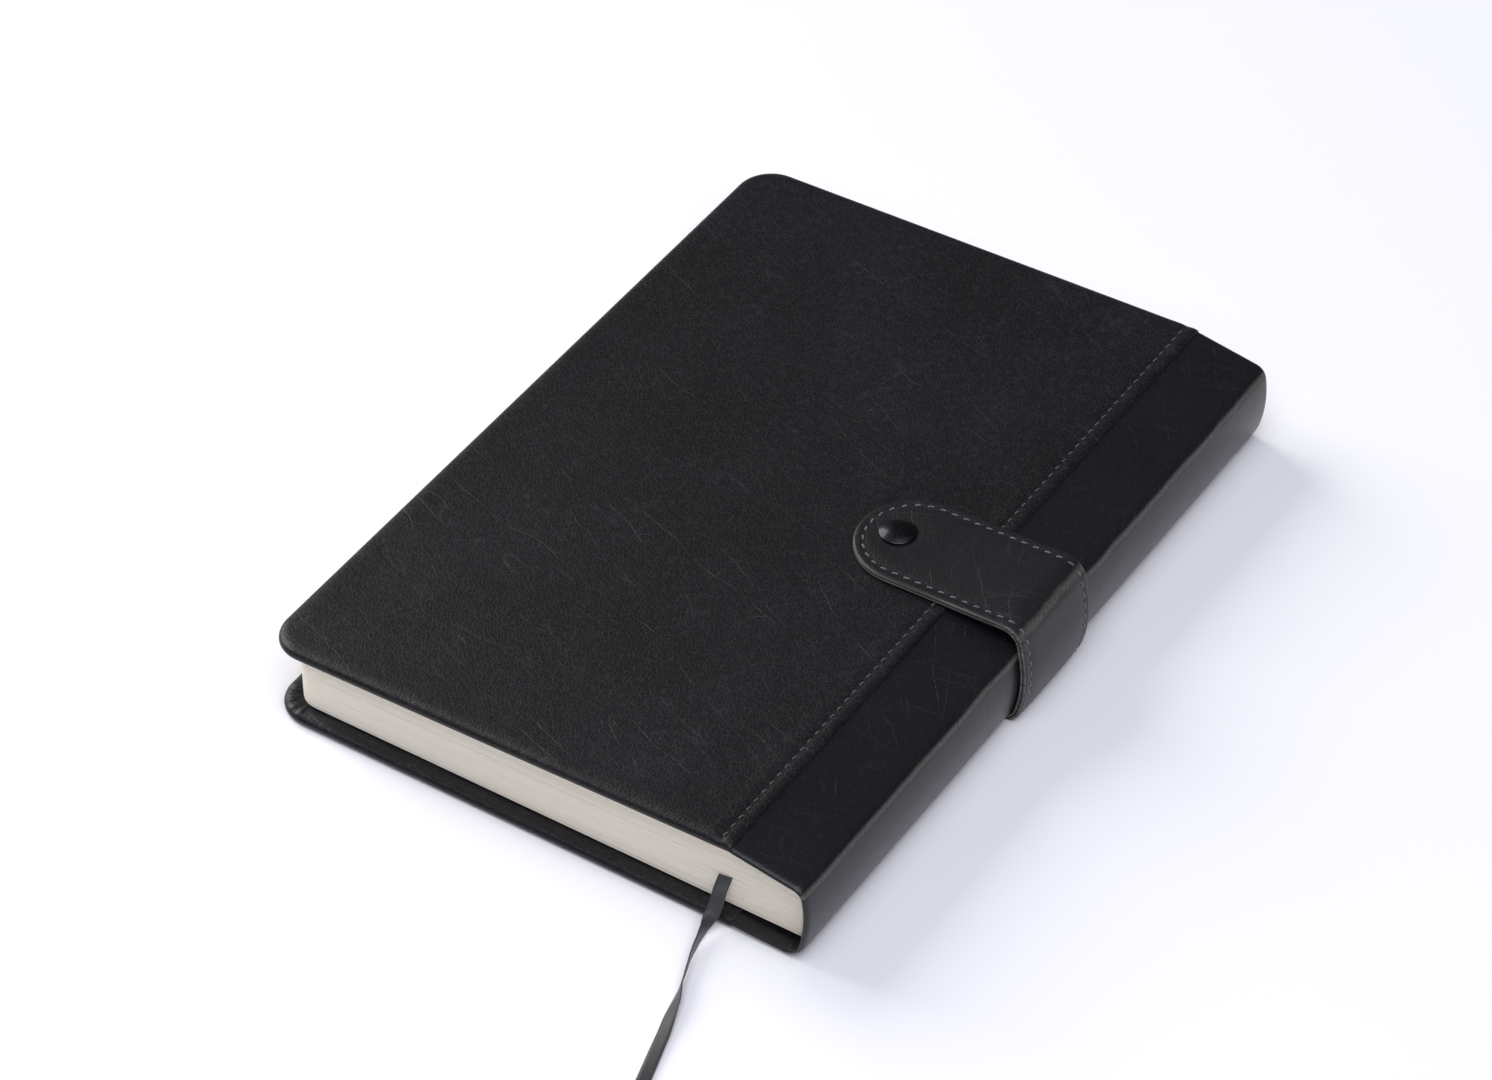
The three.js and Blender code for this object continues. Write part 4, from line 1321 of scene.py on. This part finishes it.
# The face of a leaf, as an open book shows it: the same paper, with a faint even tooth.
sheet = mottled("book_paper_cream_face", ("#f4ebdc", "#f9f1e3"), (0.3, 0.7), (1.6, 4.0, 0.5),
                (0.02, 0.4), roughness=0.9, ior=1.5)
draw = random.Random(7)
for index in range(SIGNATURES):
    half_name, number = ("rear", index + 1) if index < 6 else ("front", index - 5)
    leaves = signature(f"{half_name}_leaves_{number}", index, draw)
    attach(leaves, "back_cover" if half_name == "rear" else "front_pages")
    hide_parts(f"{half_name}_signature_{number}")
print(SIGNATURES, "signatures,", SIGNATURES * RIDGES, "ridges on the edge")

# %% [markdown]
# What is left keeps its CAD shape: the boards, foam, card liners, black endpapers and the
# gauze on the spine. All but the endpapers hide inside, but each is still the stuff it
# is, so that a cut or an opened copy shows board as board.

# %% Boards, foam, papers and gauze
def fibrous(name, dark, pale, fibre, roughness, depth, stretch=(1, 1, 1)):
    """A matte sheet with fibres or cells of a given size in millimetres."""
    return mottled(name, (dark, pale), (0.35, 0.65), (1 / fibre, 6.0, 0.7), (depth, 0.6),
                   stretch=stretch, roughness=roughness, Sheen_Weight=0.05)


def gauze(name, dark, pale, pitch):
    """Mull: open plain weave, drawn as two crossing waves at its thread pitch."""
    material, shader = new_material(name, roughness=0.9, Sheen_Weight=0.2)
    place = in_millimetres(material)
    waves = {}
    for i, axis in enumerate(("Y", "Z")):
        inputs = {"Vector": place, "Scale": WAVE / pitch}
        waves[i] = add(material, "TexWave", inputs, bands_direction=axis).outputs["Fac"]
    weave = add(material, "Math", waves, operation="MAXIMUM").outputs[0]
    colour = add(material, "ValToRGB", {"Fac": weave}, [(0.3, dark), (0.9, pale)])
    dress(material, shader, colour.outputs["Color"], weave, 0.1, 0.8)
    return material


FINISHES = {
    fibrous("greyboard", "#75695a", "#97897a", 0.5, 0.92, 0.03, (1, 0.4, 1)): [
        "back_board", "front_board"],
    fibrous("polyurethane_foam", "#7f8186", "#a3a5aa", 0.35, 0.97, 0.1): ["back_foam", "front_foam"],
    fibrous("liner_card", "#1c1c1e", "#262629", 0.4, 0.9, 0.02): [
        "back_hinge_liner", "front_hinge_liner", "spine_stiffener"],
    fibrous("endpaper_black_uncoated", "#151516", "#222224", 0.25, 0.86, 0.02): [
        "back_pastedown", "front_pastedown", "back_flyleaf", "front_flyleaf"],
    gauze("cotton_mull", "#a8a193", "#dcd6c8", 0.8): ["rear_spine_lining", "front_spine_lining"],
    fibrous("strap_core_board", "#6d6254", "#85786a", 0.4, 0.9, 0.02): ["strap_flap_core"],
    ribbon_satin_inside: ["ribbon_inside"],
    spring_steel: ["snap_socket", "snap_stud", "snap_post"],
}
for finish, names in FINISHES.items():
    for name in names:
        nodes[name].material_slots[0].material = finish
    print(finish.name, "on", ", ".join(names))


# %% [markdown]
# The book stands on a pale studio table. One large soft light on the fore-edge side gives
# the soft shadow beyond the spine, a larger one from the camera's side fills the spine, and
# the world is kept dim, so that the leather stays dark and shows the lights on its rims.

# %% Table and light
TABLE_HALF = 3.0


def table():
    side = TABLE_HALF
    mesh = bpy.data.meshes.new("table")
    corners = [(-side, -side, 0), (side, -side, 0), (side, side, 0), (-side, side, 0)]
    mesh.from_pydata(corners, [], [(0, 1, 2, 3)])
    piece = add_object("table", mesh)
    material, shader = new_material("studio_paper_white", roughness=0.85)
    shader.inputs["Base Color"].default_value = linear("#f6f6fa")
    mesh.materials.append(material)


def soft_light(name, azimuth, elevation, distance, size, watts, colour):
    """A square area light that faces the book."""
    data = bpy.data.lights.new(name, "AREA")
    data.shape, data.size, data.energy = "SQUARE", size, watts
    data.color = linear(colour)[:3]
    light = add_object(name, data)
    a, e = math.radians(azimuth), math.radians(elevation)
    direction = Vector((math.cos(a) * math.cos(e), math.sin(a) * math.cos(e), math.sin(e)))
    light.location = direction * distance
    light.rotation_euler = direction.to_track_quat("Z", "Y").to_euler()


table()
bpy.context.scene.view_settings.view_transform = "Standard"
soft_light("key_light", 173, 33, 2.0, 1.4, 32, "#fffdf8")
soft_light("fill_light", -50, 62, 2.0, 2.0, 42, "#f3f4fd")
world = bpy.data.worlds.new("studio")
world.use_nodes = True
world.node_tree.nodes["Background"].inputs["Color"].default_value = linear("#f3f4fb")
world.node_tree.nodes["Background"].inputs["Strength"].default_value = 0.1
bpy.context.scene.world = world
